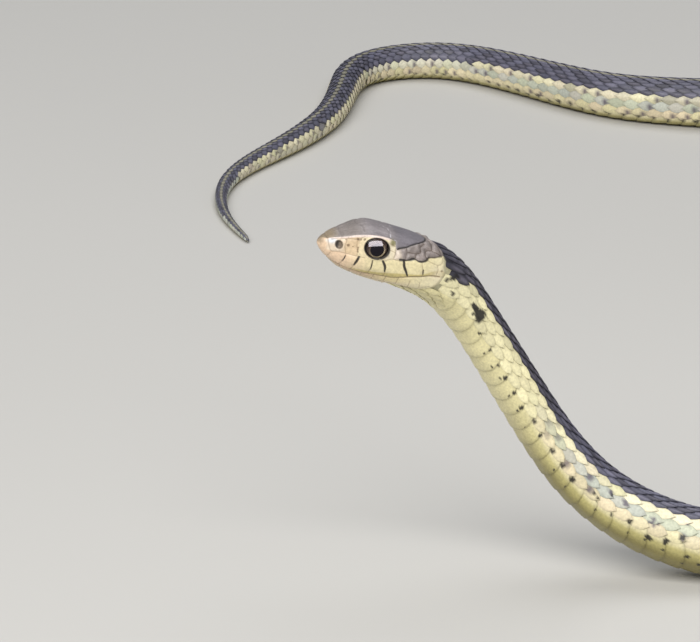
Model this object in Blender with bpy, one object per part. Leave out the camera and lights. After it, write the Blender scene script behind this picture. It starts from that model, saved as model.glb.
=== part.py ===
"""Common garter snake, life size, as a still museum model.

The front of the body is raised off the floor, with the head held nearly level and looking to -X.
The rest lies on its belly, swings round through +X to +Y, and the tail comes forward again.
Sizes are in millimetres until a mesh is made. The scene is in metres, +Z up, and its origin is
on the floor at the middle of the snake's box.
"""

import math

import bmesh
import bpy
import numpy as np
from mathutils import Vector

MM = 0.001
GAP = 0.3
FINENESS = 0.1
CENTRE = (49.93, 143.04)

# The line along the middle of the body, from snout to tail tip: x, y, the height of that line,
# and how far the body is rolled about it, in degrees, with the belly turning towards -Y.
# Where the height is under the depth of the belly, the snake lies on the floor.
ROUTE = [
    (-4.9, -2.6, 58.1, 0),
    (1.5, -1.4, 56.5, 0),
    (7.5, 0.0, 54.8, 1),
    (12.5, 1.5, 51.75, 5),
    (15.9, 3.4, 47.7, 10),
    (19.4, 5.2, 42.05, 13),
    (27.5, 8.2, 27.6, 18),
    (36.7, 8.8, 15.0, 28),
    (47.2, 7.8, 8.3, 36),
    (59.0, 7.4, 4.5, 36),
    (74.0, 9.0, -1.0, 24),
    (90.0, 15.5, -6.0, 10),
    (106.0, 28.5, -6.0, 2),
    (117.0, 47.5, -6.0, 0),
    (119.5, 70.0, -6.0, 0),
    (112.0, 92.5, -6.0, 0),
    (100.0, 113.5, -6.0, 0),
    (91.5, 136.5, -6.0, 0),
    (92.5, 161.0, -6.0, 0),
    (102.5, 183.5, -6.0, 0),
    (111.0, 206.5, -6.0, 0),
    (108.0, 229.5, -6.0, 0),
    (93.0, 245.5, -6.0, 0),
    (73.5, 252.5, -6.0, 0),
    (55.5, 258.5, -6.0, 0),
    (43.5, 268.5, -6.0, 0),
    (32.0, 280.0, -6.0, 0),
    (17.5, 288.0, -6.0, 0),
    (4.0, 283.5, -6.0, 0),
    (-1.5, 267.0, -6.0, 0),
    (-4.5, 250.0, -6.0, 0),
    (-13.0, 231.0, -6.0, 0),
    (-23.0, 212.0, -6.0, 0),
    (-24.0, 190.0, -6.0, 0),
    (-19.0, 174.0, -6.0, 0),
]
RAISED_LENGTH = 60.0
FLOOR_BLEND = 0.5

# Distance from the snout, half width, height of the back and depth of the belly, then how
# square the back and the belly are (2 is an ellipse).
HEAD_SIZES = [
    (3.5, 3.00, 3.15, 3.00, 2.5, 2.3),
    (5.2, 3.70, 4.00, 3.45, 2.8, 2.4),
    (7.0, 4.20, 4.40, 3.85, 2.9, 2.4),
    (9.2, 4.55, 4.25, 4.15, 2.8, 2.4),
    (12.0, 4.95, 4.00, 4.40, 2.6, 2.4),
    (15.0, 5.25, 3.95, 4.50, 2.4, 2.4),
    (17.5, 5.05, 4.20, 4.45, 2.3, 2.4),
    (20.5, 4.50, 4.10, 4.25, 2.2, 2.4),
]
BODY_SIZES = [
    (24.0, 4.05, 4.00, 3.95, 2.1, 2.4),
    (32.0, 3.75, 3.75, 3.65, 2.1, 2.4),
    (50.0, 3.90, 4.00, 3.85, 2.1, 2.5),
    (62.0, 4.35, 4.40, 4.20, 2.1, 2.6),
    (78.0, 4.90, 4.95, 4.65, 2.1, 2.7),
    (105.0, 5.55, 5.50, 5.10, 2.1, 2.8),
    (150.0, 6.10, 6.00, 5.60, 2.1, 2.8),
    (230.0, 6.40, 6.25, 5.85, 2.1, 2.8),
    (320.0, 6.10, 6.00, 5.60, 2.1, 2.8),
    (390.0, 5.20, 5.20, 4.80, 2.1, 2.8),
    (440.0, 4.30, 4.30, 3.95, 2.1, 2.7),
]
# The same beyond the vent, with the first figure a share of the tail's length.
TAIL_SIZES = [
    (0.08, 3.85, 3.90, 3.60, 2.1, 2.6),
    (0.35, 3.05, 3.15, 2.95, 2.1, 2.5),
    (0.70, 1.75, 1.80, 1.70, 2.1, 2.3),
    (0.95, 0.70, 0.70, 0.68, 2.1, 2.1),
    (1.00, 0.50, 0.50, 0.50, 2.0, 2.0),
]
TAIL_LENGTH = 145.0
SNOUT_CAP = 3.5
SNOUT_POINT = 0.62
TAIL_CAP = 2.0
TAIL_POINT = 0.6

HEAD_END = 20.5
NECK_SHARE = 0.07
BODY_PARTS = 9
TAIL_PARTS = 3
HEAD_SIDES = 28
BODY_SIDES = 16
HEAD_RING = 0.6
SNOUT_RINGS = 6

# Belly scutes. Each rises towards its rear edge and steps down to the next. Their lengths are
# given at distances from the snout, and for the tail at shares of its length.
SCUTE_LENGTHS = [(20.0, 2.1), (60.0, 2.5), (150.0, 3.05), (300.0, 3.15), (455.0, 2.9)]
TAIL_SCUTE_LENGTHS = [(0.0, 2.5), (0.5, 2.1), (1.0, 1.4)]
SCUTE_SPACING = 1.15
SCUTE_STEP = 0.30
SCUTE_RISE = 0.24
SCUTE_RISE_AT_TIP = 0.07
SCUTE_HALF_WIDTH = math.radians(60)

# The forms of the head, raised or sunk: name, height, distance from the snout and its spread,
# then degrees down from the middle of the back and the spread of that.
HEAD_FORMS = [
    ("brow", 0.38, 8.2, 1.9, 52.0, 9.0),
    ("canthus", 0.12, 5.0, 1.6, 52.0, 8.0),
    ("hollow before the eye", -0.30, 5.0, 1.1, 80.0, 14.0),
    ("nostril rim", 0.10, 2.8, 0.8, 78.0, 16.0),
    ("upper lip", 0.12, 9.5, 4.0, 108.0, 9.0),
    ("cheek", 0.22, 14.5, 2.2, 84.0, 22.0),
    ("hollow behind the eye", -0.12, 11.3, 0.9, 66.0, 14.0),
    ("groove of the chin", -0.22, 7.5, 3.5, 180.0, 8.0),
]

# The line of the mouth: distance from the snout, and height against the middle line.
MOUTH = [
    (0.0, -1.15),
    (1.3, -1.65),
    (3.0, -2.25),
    (5.2, -2.62),
    (7.0, -2.70),
    (8.8, -2.62),
    (10.5, -2.56),
    (11.4, -2.45),
    (12.7, -2.02),
    (14.2, -1.40),
    (15.7, -0.85),
    (16.7, -0.40),
    (18.4, 0.00),
]
JAW_END = 18.2
JAW_BLOCK_REACH = 9.0
JAW_BLOCK_RINGS = 24
EYE_PLACE = (8.1, 3.1, 1.45)
EYE_RADII = (2.1, 1.6, 1.6)
EYE_ROWS = 9
NOSTRIL_PLACE = (2.8, 2.75, 0.75)
NOSTRIL_RADII = (0.42, 0.60, 0.34)
NOSTRIL_ROWS = 6

SKIN_DARK = (0.075, 0.072, 0.068, 1.0)
SKIN_PALE = (0.62, 0.58, 0.33, 1.0)
EYE_DARK = (0.02, 0.015, 0.015, 1.0)
SKIN_ROUGHNESS = 0.45
EYE_ROUGHNESS = 0.08


def smooth(knots, values, at, limited=True):
    """A cubic through the values. Limited slopes keep it from swinging past any of them, and
    the others give it an even bend."""
    knots, values = np.asarray(knots, float), np.asarray(values, float)
    step = np.diff(knots)
    secant = np.diff(values) / step
    if limited:
        slope = np.empty(len(knots))
        slope[0], slope[-1] = secant[0], secant[-1]
        product = secant[:-1] * secant[1:]
        total = np.where(product > 0, secant[:-1] + secant[1:], 1.0)
        slope[1:-1] = np.where(product > 0, 2 * product / total, 0.0)
    else:
        rows = np.zeros((len(knots), len(knots)))
        pull = np.zeros(len(knots))
        rows[0, :2] = 2, 1
        rows[-1, -2:] = 1, 2
        pull[0], pull[-1] = 3 * secant[0], 3 * secant[-1]
        for k in range(1, len(knots) - 1):
            rows[k, k - 1 : k + 2] = step[k], 2 * (step[k - 1] + step[k]), step[k - 1]
            pull[k] = 3 * (step[k] * secant[k - 1] + step[k - 1] * secant[k])
        slope = np.linalg.solve(rows, pull)
    at = np.clip(np.asarray(at, float), knots[0], knots[-1])
    i = np.clip(np.searchsorted(knots, at, side="right") - 1, 0, len(step) - 1)
    t = (at - knots[i]) / step[i]
    return (
        values[i] * (1 + 2 * t) * (1 - t) ** 2
        + slope[i] * step[i] * t * (1 - t) ** 2
        + values[i + 1] * t * t * (3 - 2 * t)
        - slope[i + 1] * step[i] * t * t * (1 - t)
    )


def through(table, at):
    """A value from a table of pairs."""
    knots, values = zip(*table)
    return float(smooth(knots, values, at))


class Snake:
    """The snake's middle line, and its section at each distance from the snout."""

    def __init__(self):
        route = np.array(ROUTE, float)
        chord = np.linalg.norm(np.diff(route[:, :3], axis=0), axis=1)
        knots = np.concatenate([[0.0], np.cumsum(chord)])
        fine = np.arange(0.0, knots[-1], FINENESS)
        line = np.stack([smooth(knots, route[:, k], fine, limited=k == 3) for k in range(4)], 1)
        line[:, 2] = FLOOR_BLEND * np.logaddexp(0.0, line[:, 2] / FLOOR_BLEND)
        reach = np.linalg.norm(np.diff(line[:, :3], axis=0), axis=1)
        along = np.concatenate([[0.0], np.cumsum(reach)])
        self.length = float(along[-1])
        self.vent = self.length - TAIL_LENGTH
        tail = [(self.vent + share * TAIL_LENGTH, *rest) for share, *rest in TAIL_SIZES]
        self.sizes = np.array(HEAD_SIZES + BODY_SIZES + tail)
        self.at = np.arange(0.0, self.length, FINENESS)
        x, y, height, twist = (np.interp(self.at, along, line[:, k]) for k in range(4))
        self.twist = np.radians(twist)
        depth = self.depth()
        over = np.logaddexp(0.0, (height - depth) / FLOOR_BLEND) * FLOOR_BLEND
        lying = self.at > RAISED_LENGTH
        self.middle = np.stack([x, y, np.where(lying, depth + over, height)], 1)
        self.middle[:, :2] -= CENTRE
        self.tangent = np.gradient(self.middle, self.at, axis=0)
        self.tangent /= np.linalg.norm(self.tangent, axis=1)[:, None]

    def depth(self):
        """How far the lowest corner of each section is under the middle line."""
        wide, high, deep, top, bottom = (self.size(self.at, k) for k in range(1, 6))
        lowest = np.zeros(len(self.at))
        for k in range(BODY_SIDES):
            angle = (k + 0.5) * math.tau / BODY_SIDES
            sine, cosine = math.sin(angle), math.cos(angle)
            power = 2 / (top if cosine > 0 else bottom)
            across = wide * np.copysign(abs(sine) ** power, sine)
            upright = (high if cosine > 0 else deep) * np.copysign(abs(cosine) ** power, cosine)
            down = across * np.sin(self.twist) - upright * np.cos(self.twist)
            lowest = np.maximum(lowest, down)
        return lowest * self.taper(self.at)

    def size(self, at, column):
        return smooth(self.sizes[:, 0], self.sizes[:, column], at)

    def taper(self, at):
        """Brings the section to nothing at the snout and at the tail tip."""
        snout = np.clip(at / SNOUT_CAP, 0, 1) ** SNOUT_POINT
        tip = np.sqrt(np.clip((self.length - at) / TAIL_CAP, 0, 1))
        return snout * tip

    def frame(self, at):
        """The middle point, and the side and back directions, at a distance from the snout."""
        row = [np.interp(at, self.at, self.middle[:, k]) for k in range(3)]
        ahead = Vector([np.interp(at, self.at, self.tangent[:, k]) for k in range(3)]).normalized()
        up = Vector((0, 0, 1))
        back = (up - ahead * up.dot(ahead)).normalized()
        side = ahead.cross(back)
        twist = float(np.interp(at, self.at, self.twist))
        turned = back * math.cos(twist) - side * math.sin(twist)
        return Vector(row), ahead.cross(turned), turned

    def section(self, at, angles, sink=0.0):
        """Sideways and upward distance of the skin from the middle, with angle 0 at the back.
        The belly scutes' share of the ring is sunk by a distance."""
        taper = float(self.taper(at))
        wide, high, deep, top, bottom = (float(self.size(at, k)) for k in range(1, 6))
        points = []
        for angle in angles:
            sine, cosine = math.sin(angle), math.cos(angle)
            power = 2 / (top if cosine > 0 else bottom)
            across = wide * taper * math.copysign(abs(sine) ** power, sine)
            upright = (high if cosine > 0 else deep) * taper
            upright *= math.copysign(abs(cosine) ** power, cosine)
            raised = self.relief(at, angle) * taper
            if math.pi - abs(math.pi - angle % math.tau) > math.pi - SCUTE_HALF_WIDTH:
                raised -= sink
            grown = 1 + raised / math.hypot(across, upright)
            points.append((across * grown, upright * grown))
        return points

    def relief(self, at, angle):
        """How far the forms of the head raise or sink the skin."""
        if at > HEAD_END:
            return 0.0
        down = math.degrees(math.acos(math.cos(angle)))
        return sum(
            height
            * math.exp(-(((at - place) / spread) ** 2) - ((down - turn) / turn_spread) ** 2)
            for name, height, place, spread, turn, turn_spread in HEAD_FORMS
        )

    def place(self, at, sideways, upward):
        """A point in the scene, in metres, from distances in the section."""
        middle, side, back = self.frame(at)
        return (middle + side * sideways + back * upward) * MM

    def ring(self, at, sides, sink=0.0):
        """The section's outline, in metres, with a flat side under the belly."""
        middle, side, back = self.frame(at)
        angles = [(k + 0.5) * math.tau / sides for k in range(sides)]
        outline = self.section(at, angles, sink)
        return [(middle + side * across + back * upright) * MM for across, upright in outline]


def material(name, colour, roughness):
    made = bpy.data.materials.new(name)
    made.use_nodes = True
    shader = made.node_tree.nodes["Principled BSDF"]
    shader.inputs["Base Color"].default_value = colour
    shader.inputs["Roughness"].default_value = roughness
    made.diffuse_color = colour
    return made


def object_from(shape, name, look, into):
    """Ends a shape's making: faces out, shaded smooth but for its sharp edges."""
    bmesh.ops.recalc_face_normals(shape, faces=shape.faces)
    mesh = bpy.data.meshes.new(name)
    shape.to_mesh(mesh)
    shape.free()
    mesh.shade_smooth()
    mesh.set_sharp_from_angle(angle=math.radians(40))
    made = bpy.data.objects.new(name, mesh)
    made.data.materials.append(look)
    into.objects.link(made)
    return made


def loft(name, rings, look, into, nose=None, tip=None):
    """A closed body through rings of equal count, ending in caps or in single points."""
    shape = bmesh.new()
    loops = [[shape.verts.new(p) for p in ring] for ring in rings]
    for first, second in zip(loops, loops[1:]):
        for k in range(len(first)):
            after = (k + 1) % len(first)
            shape.faces.new((first[k], first[after], second[after], second[k]))
    for loop, point in ((loops[0], nose), (loops[-1], tip)):
        if point is None:
            shape.faces.new(loop)
            continue
        pole = shape.verts.new(point)
        for k in range(len(loop)):
            shape.faces.new((loop[k], loop[(k + 1) % len(loop)], pole))
    return object_from(shape, name, look, into)


def ball(name, centre, side, back, radii, rows, look, into):
    """An egg shape whose radii run along the snake, to its side and up."""
    ahead = back.cross(side)
    shape = bmesh.new()
    bmesh.ops.create_uvsphere(shape, u_segments=2 * rows, v_segments=rows, radius=1.0)
    for vert in shape.verts:
        x, y, z = vert.co.x * radii[0], vert.co.y * radii[1], vert.co.z * radii[2]
        vert.co = centre + (ahead * x + side * y + back * z) * MM
    return object_from(shape, name, look, into)


def as_cutter(shape):
    shape.hide_render = True
    shape.display_type = "WIRE"
    return shape


def boolean(target, cutter, operation):
    step = target.modifiers.new(cutter.name, "BOOLEAN")
    step.operation = operation
    step.object = cutter
    step.solver = "EXACT"


def whole_head(snake, name, look, into):
    """The head in one piece, with its rings closer together where the snout rounds off."""
    near = [SNOUT_CAP * (k / SNOUT_RINGS) ** 2 for k in range(1, SNOUT_RINGS + 1)]
    count = math.ceil((HEAD_END - SNOUT_CAP) / HEAD_RING)
    far = list(np.linspace(SNOUT_CAP, HEAD_END - GAP, count + 1))[1:]
    rings = [snake.ring(at, HEAD_SIDES) for at in near + far]
    return loft(name, rings, look, into, nose=snake.place(0.0, 0.0, 0.0))


def jaw_block(snake, name, under, end, look, into):
    """What lies under the line of the mouth, dropped by a distance, as a block along the head."""
    reach = JAW_BLOCK_REACH
    rings = []
    for at in np.linspace(-2.0, end, JAW_BLOCK_RINGS):
        top = through(MOUTH, at) - under
        corners = ((-reach, top), (reach, top), (reach, -reach), (-reach, -reach))
        middle, side, back = snake.frame(max(at, 0.0))
        middle = middle + side.cross(back) * max(-at, 0.0)
        rings.append([(middle + side * y + back * z) * MM for y, z in corners])
    return loft(name, rings, look, into)


def head_and_jaw(snake, parts, cutters, looks):
    """The head and the lower jaw, parted along the mouth, with eyes in sockets and nostrils."""
    head = whole_head(snake, "head", looks["dark"], parts)
    jaw = whole_head(snake, "lower_jaw", looks["pale"], parts)
    mouth = jaw_block(snake, "mouth_cut", -GAP / 2, JAW_END + GAP, looks["cutter"], cutters)
    below = jaw_block(snake, "jaw_block", GAP / 2, JAW_END, looks["cutter"], cutters)
    boolean(head, as_cutter(mouth), "DIFFERENCE")
    boolean(jaw, as_cutter(below), "INTERSECT")
    for name, way in (("left", 1), ("right", -1)):
        at, out, up = EYE_PLACE
        middle, side, back = snake.frame(at)
        centre = snake.place(at, way * out, up)
        ball("eye_" + name, centre, side, back, EYE_RADII, EYE_ROWS, looks["eye"], parts)
        wider = [radius + GAP for radius in EYE_RADII]
        cutter = ("socket_" + name, centre, side, back, wider, EYE_ROWS)
        boolean(head, as_cutter(ball(*cutter, looks["cutter"], cutters)), "DIFFERENCE")
        at, out, up = NOSTRIL_PLACE
        middle, side, back = snake.frame(at)
        centre = snake.place(at, way * out, up)
        cutter = ("nostril_" + name, centre, side, back, NOSTRIL_RADII, NOSTRIL_ROWS)
        boolean(head, as_cutter(ball(*cutter, looks["cutter"], cutters)), "DIFFERENCE")


def scute_edges(start, end, length_at):
    """Where each belly scute starts, spread so that a whole number of them fits."""
    edges = [start]
    while edges[-1] < end:
        edges.append(edges[-1] + SCUTE_SPACING * length_at(edges[-1]))
    last = edges[-1] if edges[-1] - end < end - edges[-2] else edges.pop() and edges[-1]
    return [start + (edge - start) * (end - start) / (last - start) for edge in edges]


def scuted_length(snake, name, edges, look, into, tapers=False):
    """One length of the body between two flat cuts, or out to the tail tip, with its scutes."""
    rings = []
    for start, end in zip(edges, edges[1:]):
        share = min(1.0, (snake.length - start) / TAIL_LENGTH)
        sink = SCUTE_RISE_AT_TIP + (SCUTE_RISE - SCUTE_RISE_AT_TIP) * share
        rings.append(snake.ring(start, BODY_SIDES, sink))
        rings.append(snake.ring(end - SCUTE_STEP, BODY_SIDES))
    if not tapers:
        return loft(name, rings, look, into)
    rings[-1] = snake.ring(snake.length - TAIL_CAP, BODY_SIDES)
    rings.append(snake.ring(snake.length - TAIL_POINT, BODY_SIDES))
    return loft(name, rings, look, into, tip=snake.place(snake.length - FINENESS, 0.0, 0.0))


def grouped(edges, count):
    """The scutes' edges in runs of nearly equal count, each ending where the next starts."""
    cuts = [round(k * (len(edges) - 1) / count) for k in range(count + 1)]
    return [edges[first : last + 1] for first, last in zip(cuts, cuts[1:])]


def build():
    for old in list(bpy.data.objects):
        bpy.data.objects.remove(old)
    parts = bpy.data.collections.new("garter_snake")
    cutters = bpy.data.collections.new("cutters")
    for collection in (parts, cutters):
        bpy.context.scene.collection.children.link(collection)
    looks = {
        "dark": material("skin_dark", SKIN_DARK, SKIN_ROUGHNESS),
        "pale": material("skin_pale", SKIN_PALE, SKIN_ROUGHNESS),
        "eye": material("eye", EYE_DARK, EYE_ROUGHNESS),
        "cutter": material("cutter", EYE_DARK, SKIN_ROUGHNESS),
    }
    snake = Snake()
    head_and_jaw(snake, parts, cutters, looks)
    body = scute_edges(HEAD_END, snake.vent, lambda at: through(SCUTE_LENGTHS, at))
    neck = round(NECK_SHARE * len(body))
    scuted_length(snake, "neck", body[: neck + 1], looks["dark"], parts)
    for k, edges in enumerate(grouped(body[neck:], BODY_PARTS)):
        scuted_length(snake, f"body_{k + 1}", edges, looks["dark"], parts)
    tail = scute_edges(
        snake.vent,
        snake.length,
        lambda at: through(TAIL_SCUTE_LENGTHS, (at - snake.vent) / TAIL_LENGTH),
    )
    for k, edges in enumerate(grouped(tail, TAIL_PARTS)):
        last = k == TAIL_PARTS - 1
        scuted_length(snake, f"tail_{k + 1}", edges, looks["dark"], parts, tapers=last)


build()
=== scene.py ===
"""Looks of a common garter snake, life size: its skin and head plates, scales, belly scutes and
eyes, on a pale floor in soft light.

Skin and scales are made round the same middle line and sections as the solids. Lengths are in
millimetres until a mesh is made. "at" is the distance from the snout along the middle line and
"turn" the degrees down from the middle of the back, with the snake's left side first. A "share" is
the way from back to belly measured along the skin: 0 back, 1 belly, and 2 the back again.
"""

import math

import bpy
import numpy as np
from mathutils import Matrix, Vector, kdtree


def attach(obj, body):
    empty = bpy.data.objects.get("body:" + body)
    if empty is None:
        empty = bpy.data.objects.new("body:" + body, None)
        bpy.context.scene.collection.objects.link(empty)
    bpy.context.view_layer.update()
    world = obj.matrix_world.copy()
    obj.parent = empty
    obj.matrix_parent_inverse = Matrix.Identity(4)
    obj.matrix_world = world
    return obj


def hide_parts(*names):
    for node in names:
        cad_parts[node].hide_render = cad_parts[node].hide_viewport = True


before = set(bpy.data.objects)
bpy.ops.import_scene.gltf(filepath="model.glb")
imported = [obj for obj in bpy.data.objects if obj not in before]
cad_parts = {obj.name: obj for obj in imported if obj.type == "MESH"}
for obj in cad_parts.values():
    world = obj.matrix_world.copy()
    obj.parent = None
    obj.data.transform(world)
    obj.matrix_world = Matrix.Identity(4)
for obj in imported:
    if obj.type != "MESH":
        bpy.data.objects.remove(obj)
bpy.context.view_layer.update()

MM = 0.001
FINENESS = 0.1
CENTRE = (49.93, 143.04)
# The middle line: across, along, height, and twist in degrees.
ROUTE = [
    (-4.9, -2.6, 58.1, 0),
    (1.5, -1.4, 56.5, 0),
    (7.5, 0.0, 54.8, 1),
    (12.5, 1.5, 51.75, 5),
    (15.9, 3.4, 47.7, 10),
    (19.4, 5.2, 42.05, 13),
    (27.5, 8.2, 27.6, 18),
    (36.7, 8.8, 15.0, 28),
    (47.2, 7.8, 8.3, 36),
    (59.0, 7.4, 4.5, 36),
    (74.0, 9.0, -1.0, 24),
    (90.0, 15.5, -6.0, 10),
    (106.0, 28.5, -6.0, 2),
    (117.0, 47.5, -6.0, 0),
    (119.5, 70.0, -6.0, 0),
    (112.0, 92.5, -6.0, 0),
    (100.0, 113.5, -6.0, 0),
    (91.5, 136.5, -6.0, 0),
    (92.5, 161.0, -6.0, 0),
    (102.5, 183.5, -6.0, 0),
    (111.0, 206.5, -6.0, 0),
    (108.0, 229.5, -6.0, 0),
    (93.0, 245.5, -6.0, 0),
    (73.5, 252.5, -6.0, 0),
    (55.5, 258.5, -6.0, 0),
    (43.5, 268.5, -6.0, 0),
    (32.0, 280.0, -6.0, 0),
    (17.5, 288.0, -6.0, 0),
    (4.0, 283.5, -6.0, 0),
    (-1.5, 267.0, -6.0, 0),
    (-4.5, 250.0, -6.0, 0),
    (-13.0, 231.0, -6.0, 0),
    (-23.0, 212.0, -6.0, 0),
    (-24.0, 190.0, -6.0, 0),
    (-19.0, 174.0, -6.0, 0),
]
RAISED_LENGTH = 60.0
FLOOR_BLEND = 0.5
# Sections: distance, half width, height over and depth under the middle line, and how square
# the upper and the lower half are. On the tail the first is a share of its length.
SIZES = [
    (3.5, 3.00, 3.15, 3.00, 2.5, 2.3),
    (5.2, 3.70, 4.00, 3.45, 2.8, 2.4),
    (7.0, 4.20, 4.40, 3.85, 2.9, 2.4),
    (9.2, 4.55, 4.25, 4.15, 2.8, 2.4),
    (12.0, 4.95, 4.00, 4.40, 2.6, 2.4),
    (15.0, 5.25, 3.95, 4.50, 2.4, 2.4),
    (17.5, 5.05, 4.20, 4.45, 2.3, 2.4),
    (20.5, 4.50, 4.10, 4.25, 2.2, 2.4),
    (24.0, 4.05, 4.00, 3.95, 2.1, 2.4),
    (32.0, 3.75, 3.75, 3.65, 2.1, 2.4),
    (50.0, 3.90, 4.00, 3.85, 2.1, 2.5),
    (62.0, 4.35, 4.40, 4.20, 2.1, 2.6),
    (78.0, 4.90, 4.95, 4.65, 2.1, 2.7),
    (105.0, 5.55, 5.50, 5.10, 2.1, 2.8),
    (150.0, 6.10, 6.00, 5.60, 2.1, 2.8),
    (230.0, 6.40, 6.25, 5.85, 2.1, 2.8),
    (320.0, 6.10, 6.00, 5.60, 2.1, 2.8),
    (390.0, 5.20, 5.20, 4.80, 2.1, 2.8),
    (440.0, 4.30, 4.30, 3.95, 2.1, 2.7),
]
TAIL_SIZES = [
    (0.08, 3.85, 3.90, 3.60, 2.1, 2.6),
    (0.35, 3.05, 3.15, 2.95, 2.1, 2.5),
    (0.70, 1.75, 1.80, 1.70, 2.1, 2.3),
    (0.95, 0.70, 0.70, 0.68, 2.1, 2.1),
    (1.00, 0.50, 0.50, 0.50, 2.0, 2.0),
]
TAIL_LENGTH = 145.0
SNOUT_CAP = 3.5
SNOUT_POINT = 0.62
TAIL_CAP = 2.0
LOWEST_SIDES = 16
HEAD_END = 20.5
# Forms raised on the head or sunk in it: height, distance, its spread, turn and its spread.
HEAD_FORMS = [
    (0.38, 8.2, 1.9, 52.0, 9.0),
    (0.12, 5.0, 1.6, 52.0, 8.0),
    (-0.30, 5.0, 1.1, 80.0, 14.0),
    (0.10, 2.8, 0.8, 78.0, 16.0),
    (0.12, 9.5, 4.0, 108.0, 9.0),
    (0.22, 14.5, 2.2, 84.0, 22.0),
    (-0.12, 11.3, 0.9, 66.0, 14.0),
    (-0.22, 7.5, 3.5, 180.0, 8.0),
]
# The mouth's line: distance and height over the middle line.
MOUTH = [
    (0.0, -1.15),
    (1.3, -1.65),
    (3.0, -2.25),
    (5.2, -2.62),
    (7.0, -2.70),
    (8.8, -2.62),
    (10.5, -2.56),
    (11.4, -2.45),
    (12.7, -2.02),
    (14.2, -1.40),
    (15.7, -0.85),
    (16.7, -0.40),
    (18.4, 0.00),
]
MOUTH_START, MOUTH_END = 1.5, 17.9
EYES = (("left", 1), ("right", -1))
EYE_PLACE = (8.05, 3.62, 1.52)
EYE_RADII = (1.93, 0.88, 1.66)
EYE_OPENING = (1.80, 1.53)
EYE_SINK = 0.35
EYE_RINGS, EYE_SPOKES = 48, 96
PUPIL_DROP = 0.16
NOSTRIL_PLACE = (2.75, 78.5)
NOSTRIL_RADII = (0.56, 0.66)

# The skin's mesh. Rings are closest on the head, and the count round them halves behind it.
HEAD_COLUMNS = 384
COLUMNS_AT = 9.0
SNOUT_ROWS = 48
HEAD_STEP = 0.09
FINE_END = 21.0
BODY_STEP = 1.2
SCALE_BED = 0.34

# Where the head's plates end and the scales begin: turn and distance.
SCALES_START = [
    (0, 15.5),
    (12, 15.8),
    (29, 16.4),
    (37, 16.7),
    (51, 17.1),
    (62, 17.3),
    (72, 17.5),
    (85, 18.0),
    (96, 18.1),
    (112, 17.7),
    (128, 16.4),
    (136, 14.6),
    (141, 12.6),
    (150, 10.6),
    (165, 10.9),
    (180, 11.0),
]

# Seams between the head's plates. On the crown a point is its distance and how far it is from
# the middle, in millimetres. On the sides it is distance and turn.
CROWN_SEAMS = [
    [(0.75, 0.0), (0.82, 0.5), (1.0, 1.0), (1.17, 1.35)],
    [(0.75, 0.0), (2.60, 0.0)],
    [(2.60, 0.0), (2.50, 0.7), (2.65, 1.5), (2.95, 2.2)],
    [(2.60, 0.0), (4.95, 0.0)],
    [(4.95, 0.0), (5.05, 0.7), (5.45, 1.3)],
    [(5.45, 1.3), (5.75, 2.0), (5.95, 3.0)],
    [(5.45, 1.3), (6.6, 1.12), (8.0, 1.05), (9.1, 1.12)],
    [(9.1, 1.12), (9.8, 0.62), (10.35, 0.0)],
    [(9.1, 1.12), (9.6, 1.9), (9.75, 2.8), (9.7, 3.6)],
    [(10.35, 0.0), (15.2, 0.0)],
]
SIDE_SEAMS = [
    [(1.17, 58), (1.3, 75), (1.75, 98), (1.95, 103)],
    [(1.95, 103), (1.85, 120), (1.75, 140)],
    [(2.9, 56), (2.75, 70), (2.8, 80), (3.0, 94)],
    [(3.85, 56), (3.7, 66), (3.6, 80), (3.9, 93)],
    [(1.6, 60), (2.7, 57), (3.85, 60), (5.1, 63), (6.05, 56)],
    [(5.1, 63), (5.2, 76), (5.5, 91)],
    [(1.95, 103), (2.9, 95), (3.9, 93), (5.3, 92.5), (6.6, 91.5)],
    [(9.5, 90.5), (10.6, 87.5), (11.6, 87.5)],
    [(9.75, 60.5), (10.65, 63)],
    [(9.95, 74), (10.65, 76)],
    [(9.7, 48), (10.5, 48), (10.65, 63), (10.7, 76), (10.6, 87)],
    [(13.97, 45), (14.09, 58.5), (13.57, 65), (13.53, 76)],
    [(14.6, 30.5), (13.97, 45)],
    [(15.61, 43), (14.77, 52), (14.81, 62.5), (15.21, 68.5)],
    [(15.5, 12), (15.65, 33.5), (15.65, 42.5), (16.49, 48.5), (17.0, 50.5)],
    [(16.41, 29), (16.65, 37), (17.05, 51), (17.4, 60), (17.29, 69.5)],
    [(15.25, 70), (15.81, 72), (16.77, 73.5), (17.29, 69.5)],
    [(12.1, 58), (12.3, 68), (12.2, 84)],
    [(12.3, 68), (13.57, 65)],
    [(3.95, 93), (3.92, 102), (3.65, 125), (3.45, 140)],
    [(5.65, 92), (5.62, 96), (5.35, 120), (5.25, 134)],
    [(7.8, 93), (7.77, 94), (7.70, 113), (7.6, 126)],
    [(9.3, 92), (9.5, 96), (9.91, 108), (10.0, 121)],
    [(12.09, 84.5), (12.29, 89.5), (12.97, 98.5), (13.45, 106)],
    [(14.61, 77.5), (14.8, 83), (15.53, 96.5)],
    [(16.77, 73.5), (17.2, 82), (17.29, 89)],
    [(1.5, 180), (2.6, 166), (4.0, 159), (6.0, 153), (8.0, 149), (10.0, 146), (12.0, 142)],
    [(12.0, 142), (14.0, 136), (16.0, 128), (17.4, 113)],
    [(2.6, 166), (2.35, 155)],
    [(3.9, 160), (3.7, 144)],
    [(5.3, 155), (5.2, 137)],
    [(6.9, 152), (6.85, 131)],
    [(8.6, 148), (8.6, 126)],
    [(10.5, 145), (10.4, 122)],
    [(12.5, 141), (12.35, 117)],
    [(14.6, 134), (14.3, 115)],
    [(16.3, 126), (15.8, 112)],
    [(1.5, 180), (6.3, 180)],
    [(6.3, 180), (5.9, 168), (5.5, 155)],
    [(6.3, 180), (8.0, 177), (10.7, 172)],
    [(10.9, 180), (10.7, 172), (10.3, 160), (9.8, 147)],
]
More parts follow.
